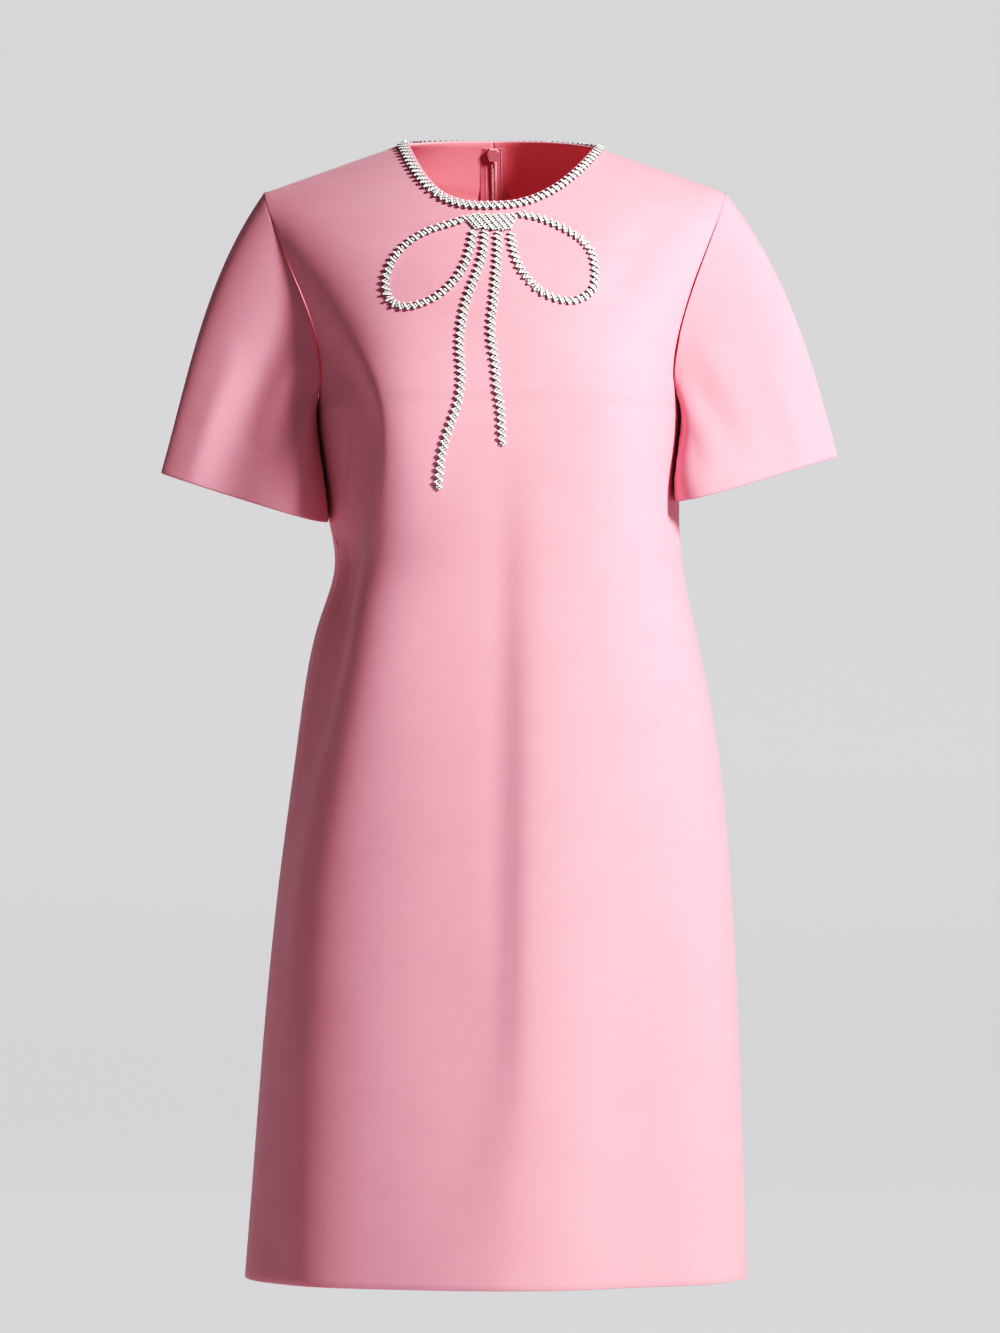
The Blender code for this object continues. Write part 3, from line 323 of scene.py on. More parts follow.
# along each fold from its top down: height, x, width of its left and right slopes, rise, negative in a hollow
longFolds = {
    -1: {
        "leftBustRidge": ((-0.050, -0.162, 0.020, 0.040, 0.0000), (-0.080, -0.154, 0.024, 0.046, 0.0018),
                          (-0.120, -0.138, 0.026, 0.052, 0.0024), (-0.165, -0.108, 0.021, 0.056, 0.0068),
                          (-0.215, -0.085, 0.015, 0.058, 0.0115), (-0.265, -0.083, 0.015, 0.058, 0.0120),
                          (-0.320, -0.090, 0.015, 0.058, 0.0115), (-0.430, -0.109, 0.018, 0.058, 0.0100),
                          (-0.560, -0.140, 0.022, 0.060, 0.0090), (-0.740, -0.150, 0.026, 0.060, 0.0075),
                          (-0.912, -0.148, 0.028, 0.054, 0.0055)),
        "leftBustEdge": ((-0.165, -0.108, 0.012, 0.022, 0.0000), (-0.215, -0.086, 0.011, 0.024, 0.0022),
                         (-0.320, -0.092, 0.012, 0.028, 0.0036), (-0.430, -0.112, 0.013, 0.030, 0.0040),
                         (-0.560, -0.143, 0.014, 0.030, 0.0024), (-0.680, -0.150, 0.016, 0.030, 0.0000)),
        "leftFlank": ((-0.150, -0.124, 0.016, 0.018, 0.0000), (-0.230, -0.116, 0.018, 0.022, -0.0030),
                      (-0.330, -0.117, 0.016, 0.022, -0.0040), (-0.450, -0.136, 0.018, 0.024, -0.0045),
                      (-0.600, -0.168, 0.018, 0.022, -0.0030), (-0.912, -0.180, 0.020, 0.024, -0.0025)),
        "leftChest": ((-0.070, -0.168, 0.020, 0.020, 0.0000), (-0.120, -0.150, 0.020, 0.022, -0.0012),
                      (-0.165, -0.130, 0.020, 0.022, -0.0020), (-0.215, -0.116, 0.020, 0.020, 0.0000)),
        "rightChest": ((-0.050, 0.132, 0.018, 0.022, 0.0000), (-0.085, 0.113, 0.018, 0.022, -0.0028),
                       (-0.125, 0.094, 0.018, 0.022, -0.0024), (-0.165, 0.080, 0.018, 0.022, 0.0000)),
        "rightBustRidge": ((-0.165, 0.084, 0.026, 0.022, 0.0000), (-0.230, 0.088, 0.030, 0.024, 0.0030),
                           (-0.430, 0.104, 0.036, 0.026, 0.0020), (-0.700, 0.120, 0.040, 0.030, 0.0000)),
        "centreCrease": ((-0.240, 0.002, 0.012, 0.010, 0.0000), (-0.340, 0.002, 0.013, 0.011, -0.0012),
                         (-0.540, 0.002, 0.016, 0.012, -0.0026), (-0.700, 0.001, 0.018, 0.013, -0.0022),
                         (-0.820, -0.002, 0.030, 0.018, 0.0000)),
        "centreRidge": ((-0.240, 0.034, 0.020, 0.050, 0.0000), (-0.360, 0.033, 0.028, 0.054, 0.0045),
                        (-0.560, 0.026, 0.034, 0.058, 0.0080), (-0.760, 0.018, 0.036, 0.062, 0.0095),
                        (-0.912, 0.010, 0.050, 0.066, 0.0100)),
        "rightPlane": ((-0.420, 0.112, 0.036, 0.030, 0.0000), (-0.560, 0.112, 0.038, 0.032, -0.0030),
                       (-0.740, 0.112, 0.040, 0.034, -0.0050), (-0.912, 0.114, 0.042, 0.036, -0.0060)),
        "hemRidge": ((-0.700, -0.046, 0.044, 0.036, 0.0000), (-0.800, -0.048, 0.046, 0.036, 0.0020),
                     (-0.912, -0.050, 0.048, 0.038, 0.0040)),
    },
    1: {
        "leftRidge": ((-0.260, -0.070, 0.024, 0.026, 0.0000), (-0.400, -0.078, 0.026, 0.028, 0.0030),
                      (-0.650, -0.100, 0.030, 0.034, 0.0055), (-0.912, -0.112, 0.034, 0.038, 0.0075)),
        "rightRidge": ((-0.280, 0.074, 0.024, 0.024, 0.0000), (-0.420, 0.082, 0.026, 0.026, 0.0028),
                       (-0.650, 0.094, 0.032, 0.030, 0.0048), (-0.912, 0.102, 0.036, 0.034, 0.0068)),
        "leftHollow": ((-0.420, -0.040, 0.020, 0.018, 0.0000), (-0.620, -0.046, 0.024, 0.020, -0.0026),
                       (-0.912, -0.052, 0.028, 0.022, -0.0042)),
        "rightHollow": ((-0.470, 0.044, 0.018, 0.022, 0.0000), (-0.660, 0.046, 0.020, 0.024, -0.0024),
                        (-0.912, 0.050, 0.022, 0.028, -0.0040)),
    },
}


# share of the half width next to a side seam over which every fold fades out
foldFade = 0.12


def foldLift(stations, x, z):
    # a bell across the fold, its place, widths and rise read along it
    stations = np.array(stations)
    place, left, right, rise = np.moveaxis(naturalSpline(stations[:, 0], stations[:, 1:], z), -1, 0)
    inside = (z <= stations[0, 0]) & (z >= stations[-1, 0])
    off = x - place
    return np.where(inside, rise * np.exp(-((off / np.where(off < 0, left, right)) ** 2)), 0)


# the front's two darts: a narrow hollow along each path of (x, z), faded over a share of it at both ends
dartSet = {"width": 0.0012, "lift": -0.0009, "fade": 0.12, "steps": 60}
dartPaths = {
    "leftDart": ((-0.117, -0.200), (-0.122, -0.250), (-0.126, -0.285), (-0.130, -0.330), (-0.138, -0.372)),
    "rightDart": ((0.110, -0.202), (0.114, -0.225), (0.118, -0.255), (0.127, -0.292), (0.140, -0.328)),
}


def dartLift(path, x, z):
    # a bell of the distance to the dart's path, faded towards both ends
    s = dartSet
    line = naturalSpline(np.arange(len(path)), path, np.linspace(0, len(path) - 1, s["steps"]))
    reach = s["width"] * 3.5
    near = ((x > line[:, 0].min() - reach) & (x < line[:, 0].max() + reach)
            & (z > line[:, 1].min() - reach) & (z < line[:, 1].max() + reach))
    lift = np.zeros_like(x)
    px, pz = x[near], z[near]
    start, way = line[:-1], np.diff(line, axis=0)
    offX, offZ = px[:, None] - start[:, 0], pz[:, None] - start[:, 1]
    share = np.clip((offX * way[:, 0] + offZ * way[:, 1]) / np.sum(way**2, axis=1), 0, 1)
    gap = np.hypot(offX - share * way[:, 0], offZ - share * way[:, 1])
    best = np.argmin(gap, axis=1)
    row = np.arange(len(px))
    along = (best + share[row, best]) / (s["steps"] - 1)
    fade = smoothStep(along / s["fade"]) * smoothStep((1 - along) / s["fade"])
    lift[near] = s["lift"] * fade * np.exp(-((gap[row, best] / s["width"]) ** 2))
    return lift


def flatPoints(side, across, level):
    # the cloth before its folds: the skirt's surface up to level 1, the yoke's above it
    skirt = skirtPoints(side, across, np.clip(level, 0, 1))
    yoke = yokePoints(side, across, np.clip(level, 1, 3))
    return np.where((level <= 1)[..., None], skirt, yoke)


def slopeNormals(surface, side, across, level, step=0.0004):
    # cross product of the two small steps taken along the surface
    sides = [surface(side, np.clip(across + way, -1, 1), level) for way in (step, -step)]
    heights = [surface(side, across, np.clip(level + way, 0, 3)) for way in (step, -step)]
    return unit(np.cross(sides[0] - sides[1], heights[0] - heights[1])) * -side


def panelPoints(side, across, level):
    # the cloth with its folds, each moved out along the normal of the cloth before them
    across, level = np.broadcast_arrays(across, level)
    points = flatPoints(side, across, level)
    x, z = points[..., 0], points[..., 2]
    lift = sum(foldLift(stations, x, z) for stations in longFolds[side].values())
    lift = lift * smoothStep((1 - np.abs(across)) / foldFade)
    if side < 0:
        lift = lift + sum(dartLift(path, x, z) for path in dartPaths.values())
    return points + slopeNormals(flatPoints, side, across, level) * lift[..., None]


def onFront(x, z):
    # points and normals of the front over x, z, found by Newton's steps in its two parameters
    d = dressSet
    x, z = np.asarray(x, float), np.asarray(z, float)
    across = np.clip((x - d["yokeCentre"]) / 0.15, -0.9, 0.9)
    level = np.interp(z, (d["hem"], d["underarm"], d["frontChest"], d["frontNeck"]), (0, 1, 2, 3))
    step = 0.001
    for repeat in range(14):
        here = panelPoints(-1, across, level)
        byAcross = (panelPoints(-1, across + step, level) - here) / step
        byLevel = (panelPoints(-1, across, level - step) - here) / -step
        missX, missZ = x - here[..., 0], z - here[..., 2]
        size = byAcross[..., 0] * byLevel[..., 2] - byAcross[..., 2] * byLevel[..., 0]
        size = np.where(np.abs(size) < 1e-7, 1e-7, size)
        moveAcross = (missX * byLevel[..., 2] - missZ * byLevel[..., 0]) / size
        moveLevel = (missZ * byAcross[..., 0] - missX * byAcross[..., 2]) / size
        across = np.clip(across + np.clip(moveAcross, -0.15, 0.15), -0.98, 0.98)
        level = np.clip(level + np.clip(moveLevel, -0.3, 0.3), 0.01, 2.99)
    return panelPoints(-1, across, level), slopeNormals(panelPoints, -1, across, level, 0.002)


# ---------- the cut pieces

gridSet = {
    "skirtRows": 120, "armRows": 48, "shoulderRows": 26, "frontColumns": 190, "backColumns": 90,
    "sleeveRows": 110, "edgeSteps": (0.0003, 0.0008), "rollReach": 0.0012,
    "denseAtDarts": ((-0.80, 0.16, 2.2), (0.78, 0.18, 2.2)),
}


def spacedAcross(low, high, count, dense=()):
    # places from low to high, packed closer where the bells in dense (middle, width, weight) ask for it
    fine = np.linspace(low, high, 2001)
    weight = 1 + sum(w * np.exp(-(((fine - middle) / width) ** 2)) for middle, width, w in dense)
    total = np.concatenate([[0], np.cumsum((weight[1:] + weight[:-1]) / 2)])
    return np.interp(np.linspace(0, total[-1], count + 1), total, fine)


def edgeColumns(points, steps):
    # extra columns a small way in from both edges, so that the edges can be rounded
    first, last = unit(points[:, 1] - points[:, 0]), unit(points[:, -2] - points[:, -1])
    nearFirst = [(points[:, 0] + first * step)[:, None] for step in steps]
    nearLast = [(points[:, -1] + last * step)[:, None] for step in steps[::-1]]
    return np.concatenate([points[:, :1], *nearFirst, points[:, 1:-1], *nearLast, points[:, -1:]], axis=1)


def metreLengths(points, axis):
    # running length along one direction of a grid
    step = np.linalg.norm(np.diff(points, axis=axis), axis=-1)
    pad = [(0, 0), (0, 0)]
    pad[axis] = (1, 0)
    return np.pad(np.cumsum(step, axis=axis), pad)


def clothArea(points):
    # sum of the cells' cross products
    cells = np.cross(np.diff(points[:-1], axis=1), np.diff(points[:, :-1], axis=0))
    return float(np.sum(np.linalg.norm(cells, axis=-1)))


def panelGrid(side, across):
    # rows up the skirt, up the armhole and in along the shoulder
    g = gridSet
    stretches = enumerate((g["skirtRows"], g["armRows"], g["shoulderRows"]))
    levels = np.concatenate([[0], *[start + np.linspace(0, 1, rows + 1)[1:] for start, rows in stretches]])
    points = panelPoints(side, across[None, :], levels[:, None])
    return {"points": points, "normals": gridNormals(points, side), "side": side}


def rolled(distance, reach, height):
    # quarter round of an edge: how far the face has dropped at a distance from the border
    t = np.clip(1 - distance / reach, 0, 1)
    return height * (1 - np.sqrt(1 - t**2 * 0.98))


def panelPiece(name, grid, materials):
    # wall of one panel, its borders rounded, thicker where the hem and the neck facing are turned in
    d, g = dressSet, gridSet
    steps = np.array(g["edgeSteps"])
    points, normals = grid["points"], grid["normals"]
    points = edgeColumns(points, steps)
    normals = edgeNormals(normals, len(steps))
    points = edgeColumns(points.transpose(1, 0, 2), steps).transpose(1, 0, 2)
    normals = edgeNormals(normals.transpose(1, 0, 2), len(steps)).transpose(1, 0, 2)
    u, v = metreLengths(points, 1), metreLengths(points, 0)
    near = np.minimum(np.minimum(u, u[:, -1:] - u), np.minimum(v, v[-1:] - v))
    fromHem, fromNeck = v, v[-1:] - v
    extra = (d["hemTurn"] * smoothStep((d["hemDepth"] - fromHem) / d["turnStep"])
             + d["facing"] * smoothStep((d["facingDepth"] - fromNeck) / d["turnStep"]))
    thick = d["cloth"] + extra
    drop = rolled(near, g["rollReach"], thick / 2)
    outer = points - normals * drop[..., None]
    inner = points - normals * (thick - drop)[..., None]
    uv = np.stack([u, v], axis=-1)
    piece = shellPiece(name, outer, inner, uv, materials)
    grid["area"] = clothArea(points)
    grid["flat"] = (float(u[:, -1].max()), float(v[-1].max()))
    return piece


def edgeNormals(normals, count):
    # the edge's normals again for each extra column
    return np.concatenate([np.repeat(normals[:, :1], count + 1, axis=1), normals[:, 1:-1],
                           np.repeat(normals[:, -1:], count + 1, axis=1)], axis=1)


# ---------- sleeves

sleeveSet = {
    -1: {"centre": (-0.2024, -0.0250, -0.2840), "tilt": 15.9, "halfWidth": 0.0699, "halfDepth": 0.0430},
    1: {"centre": (0.2018, -0.0380, -0.2696), "tilt": 15.0, "halfWidth": 0.0680, "halfDepth": 0.0430},
    "cuffSag": 0.10, "capOut": 0.062, "capUp": 0.020, "clearTop": 0.0012, "clearCuff": 0.0030,
    "clearBelow": -0.200, "lean": 0.75, "turnIn": 8, "wedgeTop": 0.78,
}
# folds of a sleeve: share of the way to the cuff, turn round it from the body side by way of the front,
# half width in degrees, rise
sleeveFolds = {
    -1: {
        "capRidge": ((0.04, 96, 12, 0.0000), (0.22, 98, 12, 0.0024),
                     (0.45, 97, 11, 0.0020), (0.70, 95, 10, 0.0000)),
        "frontDip": ((0.05, 112, 20, 0.0000), (0.30, 110, 21, -0.0046),
                     (0.65, 108, 22, -0.0066), (1.00, 106, 22, -0.0060)),
        "innerRise": ((0.15, 62, 16, 0.0000), (0.40, 60, 16, 0.0026),
                      (0.80, 58, 16, 0.0022), (1.00, 58, 16, 0.0012)),
        "outerRidge": ((0.35, 134, 9, 0.0000), (0.60, 132, 9, 0.0014),
                       (0.90, 130, 9, 0.0010), (1.00, 130, 9, 0.0006)),
        "backRidge": ((0.10, 262, 14, 0.0000), (0.40, 260, 14, 0.0022),
                      (0.80, 258, 14, 0.0014), (1.00, 256, 14, 0.0008)),
        "backHollow": ((0.25, 228, 12, 0.0000), (0.60, 230, 12, -0.0018), (1.00, 232, 12, -0.0010)),
    },
    1: {
        "capRidge": ((0.05, 104, 12, 0.0000), (0.25, 104, 12, 0.0018),
                     (0.50, 102, 11, 0.0012), (0.75, 100, 10, 0.0000)),
        "capHollow": ((0.12, 82, 9, 0.0000), (0.35, 82, 9, -0.0014),
                      (0.70, 84, 9, -0.0010), (0.90, 84, 9, 0.0000)),
        "outerRidge": ((0.35, 132, 13, 0.0000), (0.60, 130, 13, 0.0016), (1.00, 126, 13, 0.0012)),
        "underHollow": ((0.30, 56, 9, 0.0000), (0.55, 54, 9, -0.0016), (0.90, 52, 9, 0.0000)),
        "backRidge": ((0.12, 252, 14, 0.0000), (0.45, 254, 14, 0.0018), (1.00, 258, 14, 0.0010)),
        "backHollow": ((0.20, 284, 12, 0.0000), (0.55, 282, 12, -0.0020), (1.00, 280, 12, -0.0008)),
    },
}


def sleevePoints(side, ring):
    # a cubic from each point of the armhole (ring) to its point of the cuff, leaving the shoulder outwards;
    # the cuff's front is near ** lean * sqrt(1 - near ** turnIn), a plane that deepens towards the body
    s, cuff = sleeveSet, sleeveSet[side]
    angle = np.linspace(0, 2 * math.pi, len(ring) + 1)[:-1][:, None]
    tilt = math.radians(cuff["tilt"])
    inward = np.array([-side * math.cos(tilt), 0, -math.sin(tilt)])
    forward = np.array([0, -1, -s["cuffSag"]])
    axis = np.array([side * math.sin(tilt), 0, -math.cos(tilt)])
    near = (1 + np.cos(angle)) / 2
    wedge = near ** s["lean"] * np.sqrt(1 - near ** s["turnIn"]) / s["wedgeTop"]
    end = (np.array(cuff["centre"]) + inward * cuff["halfWidth"] * np.cos(angle)
           + forward * cuff["halfDepth"] * np.where(angle < math.pi, wedge, np.sin(angle)))
    chord = end - ring
    head = ((1 - np.cos(angle)) / 2) ** 1.5
    leave = chord + head * np.array([side * s["capOut"], 0, s["capUp"]])
    arrive = axis * np.linalg.norm(chord, axis=1, keepdims=True)
    t = np.linspace(0, 1, gridSet["sleeveRows"] + 1)[:, None, None]
    points = ((2 * t**3 - 3 * t**2 + 1) * ring + (t**3 - 2 * t**2 + t) * leave
              + (3 * t**2 - 2 * t**3) * end + (t**3 - t**2) * arrive)
    clearance = s["clearTop"] + (s["clearCuff"] - s["clearTop"]) * np.clip(t[1:, :, 0] * 2, 0, 1)
    turn = np.degrees(angle[:, 0])
    lift = sum(sleeveLift(stations, t[..., 0], turn) for stations in sleeveFolds[side].values())
    points = points + gridNormals(points, side, ring=True) * lift[..., None]
    points[1:] = pushedClear(points[1:], clearance)
    return points


def sleeveLift(stations, along, turn):
    # a bell round the sleeve, its place, width and rise read along it
    stations = np.array(stations)
    place, width, rise = np.moveaxis(naturalSpline(stations[:, 0], stations[:, 1:], along), -1, 0)
    inside = (along >= stations[0, 0]) & (along <= stations[-1, 0])
    return np.where(inside, rise * np.exp(-(((turn - place) / width) ** 2)), 0)


def pushedClear(points, clearance):
    # below the armhole, what lies within the body's section goes straight out to its face
    n = dressSet["square"]
    x, y, z = points[..., 0], points[..., 1], points[..., 2]
    centre = body("centre", z)
    half = np.where(y < 0, body("frontHalf", z), body("backHalf", z)) + clearance
    depth = np.where(y < 0, body("front", z), body("back", z)) + clearance
    reach = (np.abs((x - centre) / half) ** n + np.abs(y / depth) ** n) ** (1 / n)
    scale = np.where((z < sleeveSet["clearBelow"]) & (reach < 1), 1 / np.maximum(reach, 0.2), 1)
    return np.stack([centre + (x - centre) * scale, y * scale, z], axis=-1)


def sleevePiece(name, side, front, back, materials):
    # wall of one sleeve from the armhole's edge points, a seam's gap off the body, its cuff turned in
    d, g = dressSet, gridSet
    column = 0 if side < 0 else -1
    arm = slice(g["skirtRows"], g["skirtRows"] + g["armRows"] + 1)
    ring = np.concatenate([front["points"][arm, column], back["points"][arm, column][-2:0:-1]])
    bodyNormals = np.concatenate([front["normals"][arm, column], back["normals"][arm, column][-2:0:-1]])
    points = sleevePoints(side, ring)
    normals = gridNormals(points, side, ring=True)
    under = (1 + np.cos(np.linspace(0, 2 * math.pi, len(ring) + 1)[:-1, None])) / 2
    points[0] = points[0] + unit(points[1] - points[0]) * d["seam"] + bodyNormals * under * 2 * d["seam"]
    steps = np.array(g["edgeSteps"])
    points = edgeColumns(points.transpose(1, 0, 2), steps).transpose(1, 0, 2)
    normals = edgeNormals(normals.transpose(1, 0, 2), len(steps)).transpose(1, 0, 2)
    closed = np.concatenate([points, points[:, :1]], axis=1)
    u, v = metreLengths(closed, 1)[:, :-1], metreLengths(points, 0)
    near = np.minimum(v, v[-1:] - v)
    thick = d["cloth"] + d["hemTurn"] * smoothStep((d["cuffDepth"] - (v[-1:] - v)) / d["turnStep"])
    drop = rolled(near, g["rollReach"], thick / 2)
    outer = points - normals * drop[..., None]
    inner = points - normals * (thick - drop)[..., None]
    piece = shellPiece(name, outer, inner, np.stack([u, v], axis=-1), materials, ring=True)
    flat = (float(metreLengths(closed, 1)[:, -1].max()), float(v[-1].max()))
    return piece, clothArea(closed), flat


def makeCloth(materials):
    # panels that meet at a seam share their edge's normals there, then each edge moves half the seam's gap in
    g = gridSet
    front = panelGrid(-1, spacedAcross(-1, 1, g["frontColumns"], g["denseAtDarts"]))
    left = panelGrid(1, np.linspace(-1, 0, g["backColumns"] + 1))
    right = panelGrid(1, np.linspace(0, 1, g["backColumns"] + 1))
    middle = unit(left["normals"][:, -1] + right["normals"][:, 0])
    left["normals"][:, -1], right["normals"][:, 0] = middle, middle
    arm = slice(g["skirtRows"] + 1, g["skirtRows"] + g["armRows"])
    for back, column in ((left, 0), (right, -1)):
        shared = unit(front["normals"][:, column] + back["normals"][:, column])
        shared[arm] = front["normals"][arm, column]
        own = back["normals"][arm, column].copy()
        front["normals"][:, column], back["normals"][:, column] = shared, shared
        back["normals"][arm, column] = own
    sleeves = []
    for name, side, back in (("sleeve_left_cloth", -1, left), ("sleeve_right_cloth", 1, right)):
        sleeves.append(sleevePiece(name, side, front, back, materials))
    half = dressSet["seam"] / 2
    for grid in (front, left, right):
        points = grid["points"]
        for edge, inner in ((0, 1), (-1, -2)):
            points[:, edge] += unit(points[:, inner] - points[:, edge]) * half
    pieces = []
    for name, node, grid in (("front_cloth", "front", front), ("back_left_cloth", "back_left", left),
                             ("back_right_cloth", "back_right", right)):
        piece = panelPiece(name, grid, materials)
        pieces.append((piece, node))
    for (piece, area, flat), node in zip(sleeves, ("sleeve_left", "sleeve_right")):
        pieces.append((piece, node))
    for piece, node in pieces:
        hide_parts(node)
        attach(piece, "dress")
    return front, left, right


# ---------- the stone trim

trimSet = {
    "edge": 0.0020, "neckWidth": 0.0074, "bowWidth": 0.0068, "rowPitch": 0.0026, "rowCounts": (4, 2),
    "netUnder": 0.0002, "net": 0.0004, "netShare": 0.70, "neckStep": 0.00180, "bowStep": 0.00162,
    "wobble": 0.16, "spin": 0.5, "sunk": 0.0004, "neckStones": (0.00112, 0.00094),
    "bowStones": (0.00106, 0.00090), "strokeTurn": -50, "slantMost": 38, "endMargin": 0.0006,
    "knotStep": 0.00205, "knotPitch": 0.00195, "knotMargin": 0.0006, "knotNet": 0.94,
}
# stations (x, z) along the middle of each band of the bow
bowBands = {
    "loop_left": ((-0.0259, -0.0673), (-0.0392, -0.0716), (-0.0549, -0.0767), (-0.0698, -0.0851),
                  (-0.0807, -0.0964), (-0.0872, -0.1102), (-0.0886, -0.124), (-0.0818, -0.1362),
                  (-0.067, -0.1377), (-0.0514, -0.1318), (-0.039, -0.1223), (-0.0304, -0.111),
                  (-0.0246, -0.0981), (-0.0215, -0.085), (-0.02, -0.0772)),
    "loop_right": ((0.0141, -0.0636), (0.0314, -0.0671), (0.0471, -0.0738), (0.062, -0.0826),
                   (0.0713, -0.0939), (0.0743, -0.1093), (0.0719, -0.124), (0.0608, -0.1327),
                   (0.0467, -0.1329), (0.0319, -0.1267), (0.0218, -0.1167), (0.0141, -0.1046),
                   (0.0102, -0.0916), (0.0082, -0.0793)),
    "tail_left": ((-0.0121, -0.0777), (-0.0121, -0.0892), (-0.0148, -0.103), (-0.0199, -0.1176),
                  (-0.0257, -0.1337), (-0.0291, -0.1496), (-0.031, -0.1695), (-0.0298, -0.1909),
                  (-0.0317, -0.2112), (-0.0371, -0.2283), (-0.0433, -0.2476), (-0.0464, -0.2654),
                  (-0.0479, -0.2815)),
    "tail_right": ((-0.0016, -0.0786), (-0.0016, -0.0949), (-0.0027, -0.1112), (-0.0047, -0.1337),
                   (-0.0066, -0.1513), (-0.0062, -0.1672), (-0.0035, -0.1853), (-0.0023, -0.201),
                   (0, -0.2158), (0.0012, -0.232), (0.0015, -0.2475)),
}
knotOutline = ((-0.0281, -0.0651), (-0.0211, -0.0635), (0.0117, -0.0631), (0.0148, -0.0658),
               (0.0106, -0.0721), (0.0094, -0.0772), (0.0023, -0.0778), (-0.0078, -0.0772),
               (-0.0203, -0.0765), (-0.0250, -0.0721))


def pathFrame(points, normals):
    # running length, points, normals and the direction across, at every point of a path over the cloth
    along = np.concatenate([[0], np.cumsum(np.linalg.norm(np.diff(points, axis=0), axis=1))])
    across = unit(np.cross(normals, unit(np.gradient(points, axis=0))))
    return {"along": along, "points": points, "normals": normals, "across": across}


def atPlace(path, along, aside, height):
    # points beside and above the path, with the normal and the direction across there
    points, normal, across = (np.stack([np.interp(along, path["along"], part) for part in parts.T], axis=-1)
                              for parts in (path["points"], path["normals"], path["across"]))
    normal, across = unit(normal), unit(across)
    points = points + across * np.asarray(aside)[..., None] + normal * np.asarray(height)[..., None]
    return points, normal, across


def stoneShape():
    # eight-sided stone: table, crown, girdle; the cup under it; four claws bent over its edge
    turn = np.radians(np.arange(8) * 45 + 22.5)
    circle = np.stack([np.cos(turn), np.sin(turn)], axis=-1)
    levels = ((0.70, 1.95), (1.0, 1.62), (1.02, 1.35), (0.82, 0.0))
    vertices = [np.column_stack([circle * radius, np.full(8, height)]) for radius, height in levels]
    side = np.arange(8)
    following = (side + 1) % 8
    band = np.column_stack([side, side + 8, following + 8, following])
    crown, metal = band, [band + 8, band + 16]
    claws, clawFaces = [], []
    for k in range(4):
        a = math.radians(90 * k + 45)
        out, aside = np.array([math.cos(a), math.sin(a), 0]), np.array([-math.sin(a), math.cos(a), 0])
        up = np.array([0, 0, 1.0])
        start = 32 + 6 * k
        claws += [out * 1.14 + aside * 0.17 + up * 0.65, out * 1.14 - aside * 0.17 + up * 0.65,
                  out * 1.12 + up * 1.60 - aside * 0.13, out * 1.12 + up * 1.60 + aside * 0.13,
                  out * 0.78 + up * 1.84, out * 0.88 + up * 0.70]
        clawFaces += [(0, 1, 2, 3), (3, 2, 4, 4), (0, 3, 4, 5), (2, 1, 5, 4), (1, 0, 5, 5)]
        clawFaces[-5:] = [tuple(start + v for v in face) for face in clawFaces[-5:]]
    quads = np.array([face for face in clawFaces if len(set(face)) == 4])
    wedges = np.array([tuple(dict.fromkeys(face)) for face in clawFaces if len(set(face)) == 3])
    table, floor = side[None, ::-1], side[None] + 24
    vertices = np.concatenate([*vertices, np.array(claws)])
    return vertices, (table, crown, np.concatenate([*metal, quads]), wedges, floor)


def stonePiece(name, places, normals, across, sizes, net, materials, seed):
    # a copy of the stone at every place, each a little tilted and turned, over the net it is fixed to
    vertices, stoneFaces = stoneShape()
    count, size = len(places), len(vertices)
    chance = np.random.default_rng(seed)
    normal = unit(normals + (chance.random((count, 3)) - 0.5) * trimSet["wobble"])
    spin = (chance.random(count) - 0.5) * trimSet["spin"]
    side = unit(across - normal * np.sum(across * normal, axis=1, keepdims=True))
    forward = np.cross(normal, side)
    first = side * np.cos(spin)[:, None] + forward * np.sin(spin)[:, None]
    second = np.cross(normal, first)
    axes = np.stack([first, second, normal], axis=1) * sizes[:, None, None]
    stones = places[:, None] + np.einsum("vk,nkc->nvc", vertices, axes)
    shift = np.arange(count)[:, None, None] * size
    copies = [(part[None] + shift).reshape(-1, part.shape[1]) for part in stoneFaces]
    netVertices, netFaces = net
    faces = copies + [part + count * size for part in netFaces]
    slots = np.concatenate([np.full(len(part), slot) for part, slot in zip(faces, (0, 0, 1, 1, 1, 2, 2))])
    vertices = np.concatenate([stones.reshape(-1, 3), netVertices])
    piece = meshPiece(name, vertices, faces, materials, slots, smooth=False)
    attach(piece, "dress")
    return piece


def profileBand(path, corners):
    # closed band along a path; corners is its section, as (aside, height) pairs in order
    along = path["along"]
    rows = [atPlace(path, along, np.full(len(along), aside), height)[0] for aside, height in corners]
    vertices = np.stack(rows, axis=1).reshape(-1, 3)
    sides = len(corners)
    faces = gridFaces(len(along), sides, ring=True)
    last = sides * (len(along) - 1)
    ends = np.array([np.arange(sides)[::-1], np.arange(sides) + last])
    return vertices, [faces, ends]


def strokeSlant(path):
    # how far the rows lean along the band so that they keep one direction in the front view, within a limit
    turn = math.radians(trimSet["strokeTurn"])
    stroke = np.array([math.cos(turn), 0, math.sin(turn)])
    tangent = unit(np.gradient(path["points"], axis=0))
    lean = np.arctan2(tangent @ stroke, path["across"] @ stroke)
    lean = (lean + math.pi / 2) % math.pi - math.pi / 2
    most = math.radians(trimSet["slantMost"])
    lean = np.clip(lean, -most, most)
    for repeat in range(30):
        lean[1:-1] = (lean[:-2] + 2 * lean[1:-1] + lean[2:]) / 4
    return np.tan(lean)


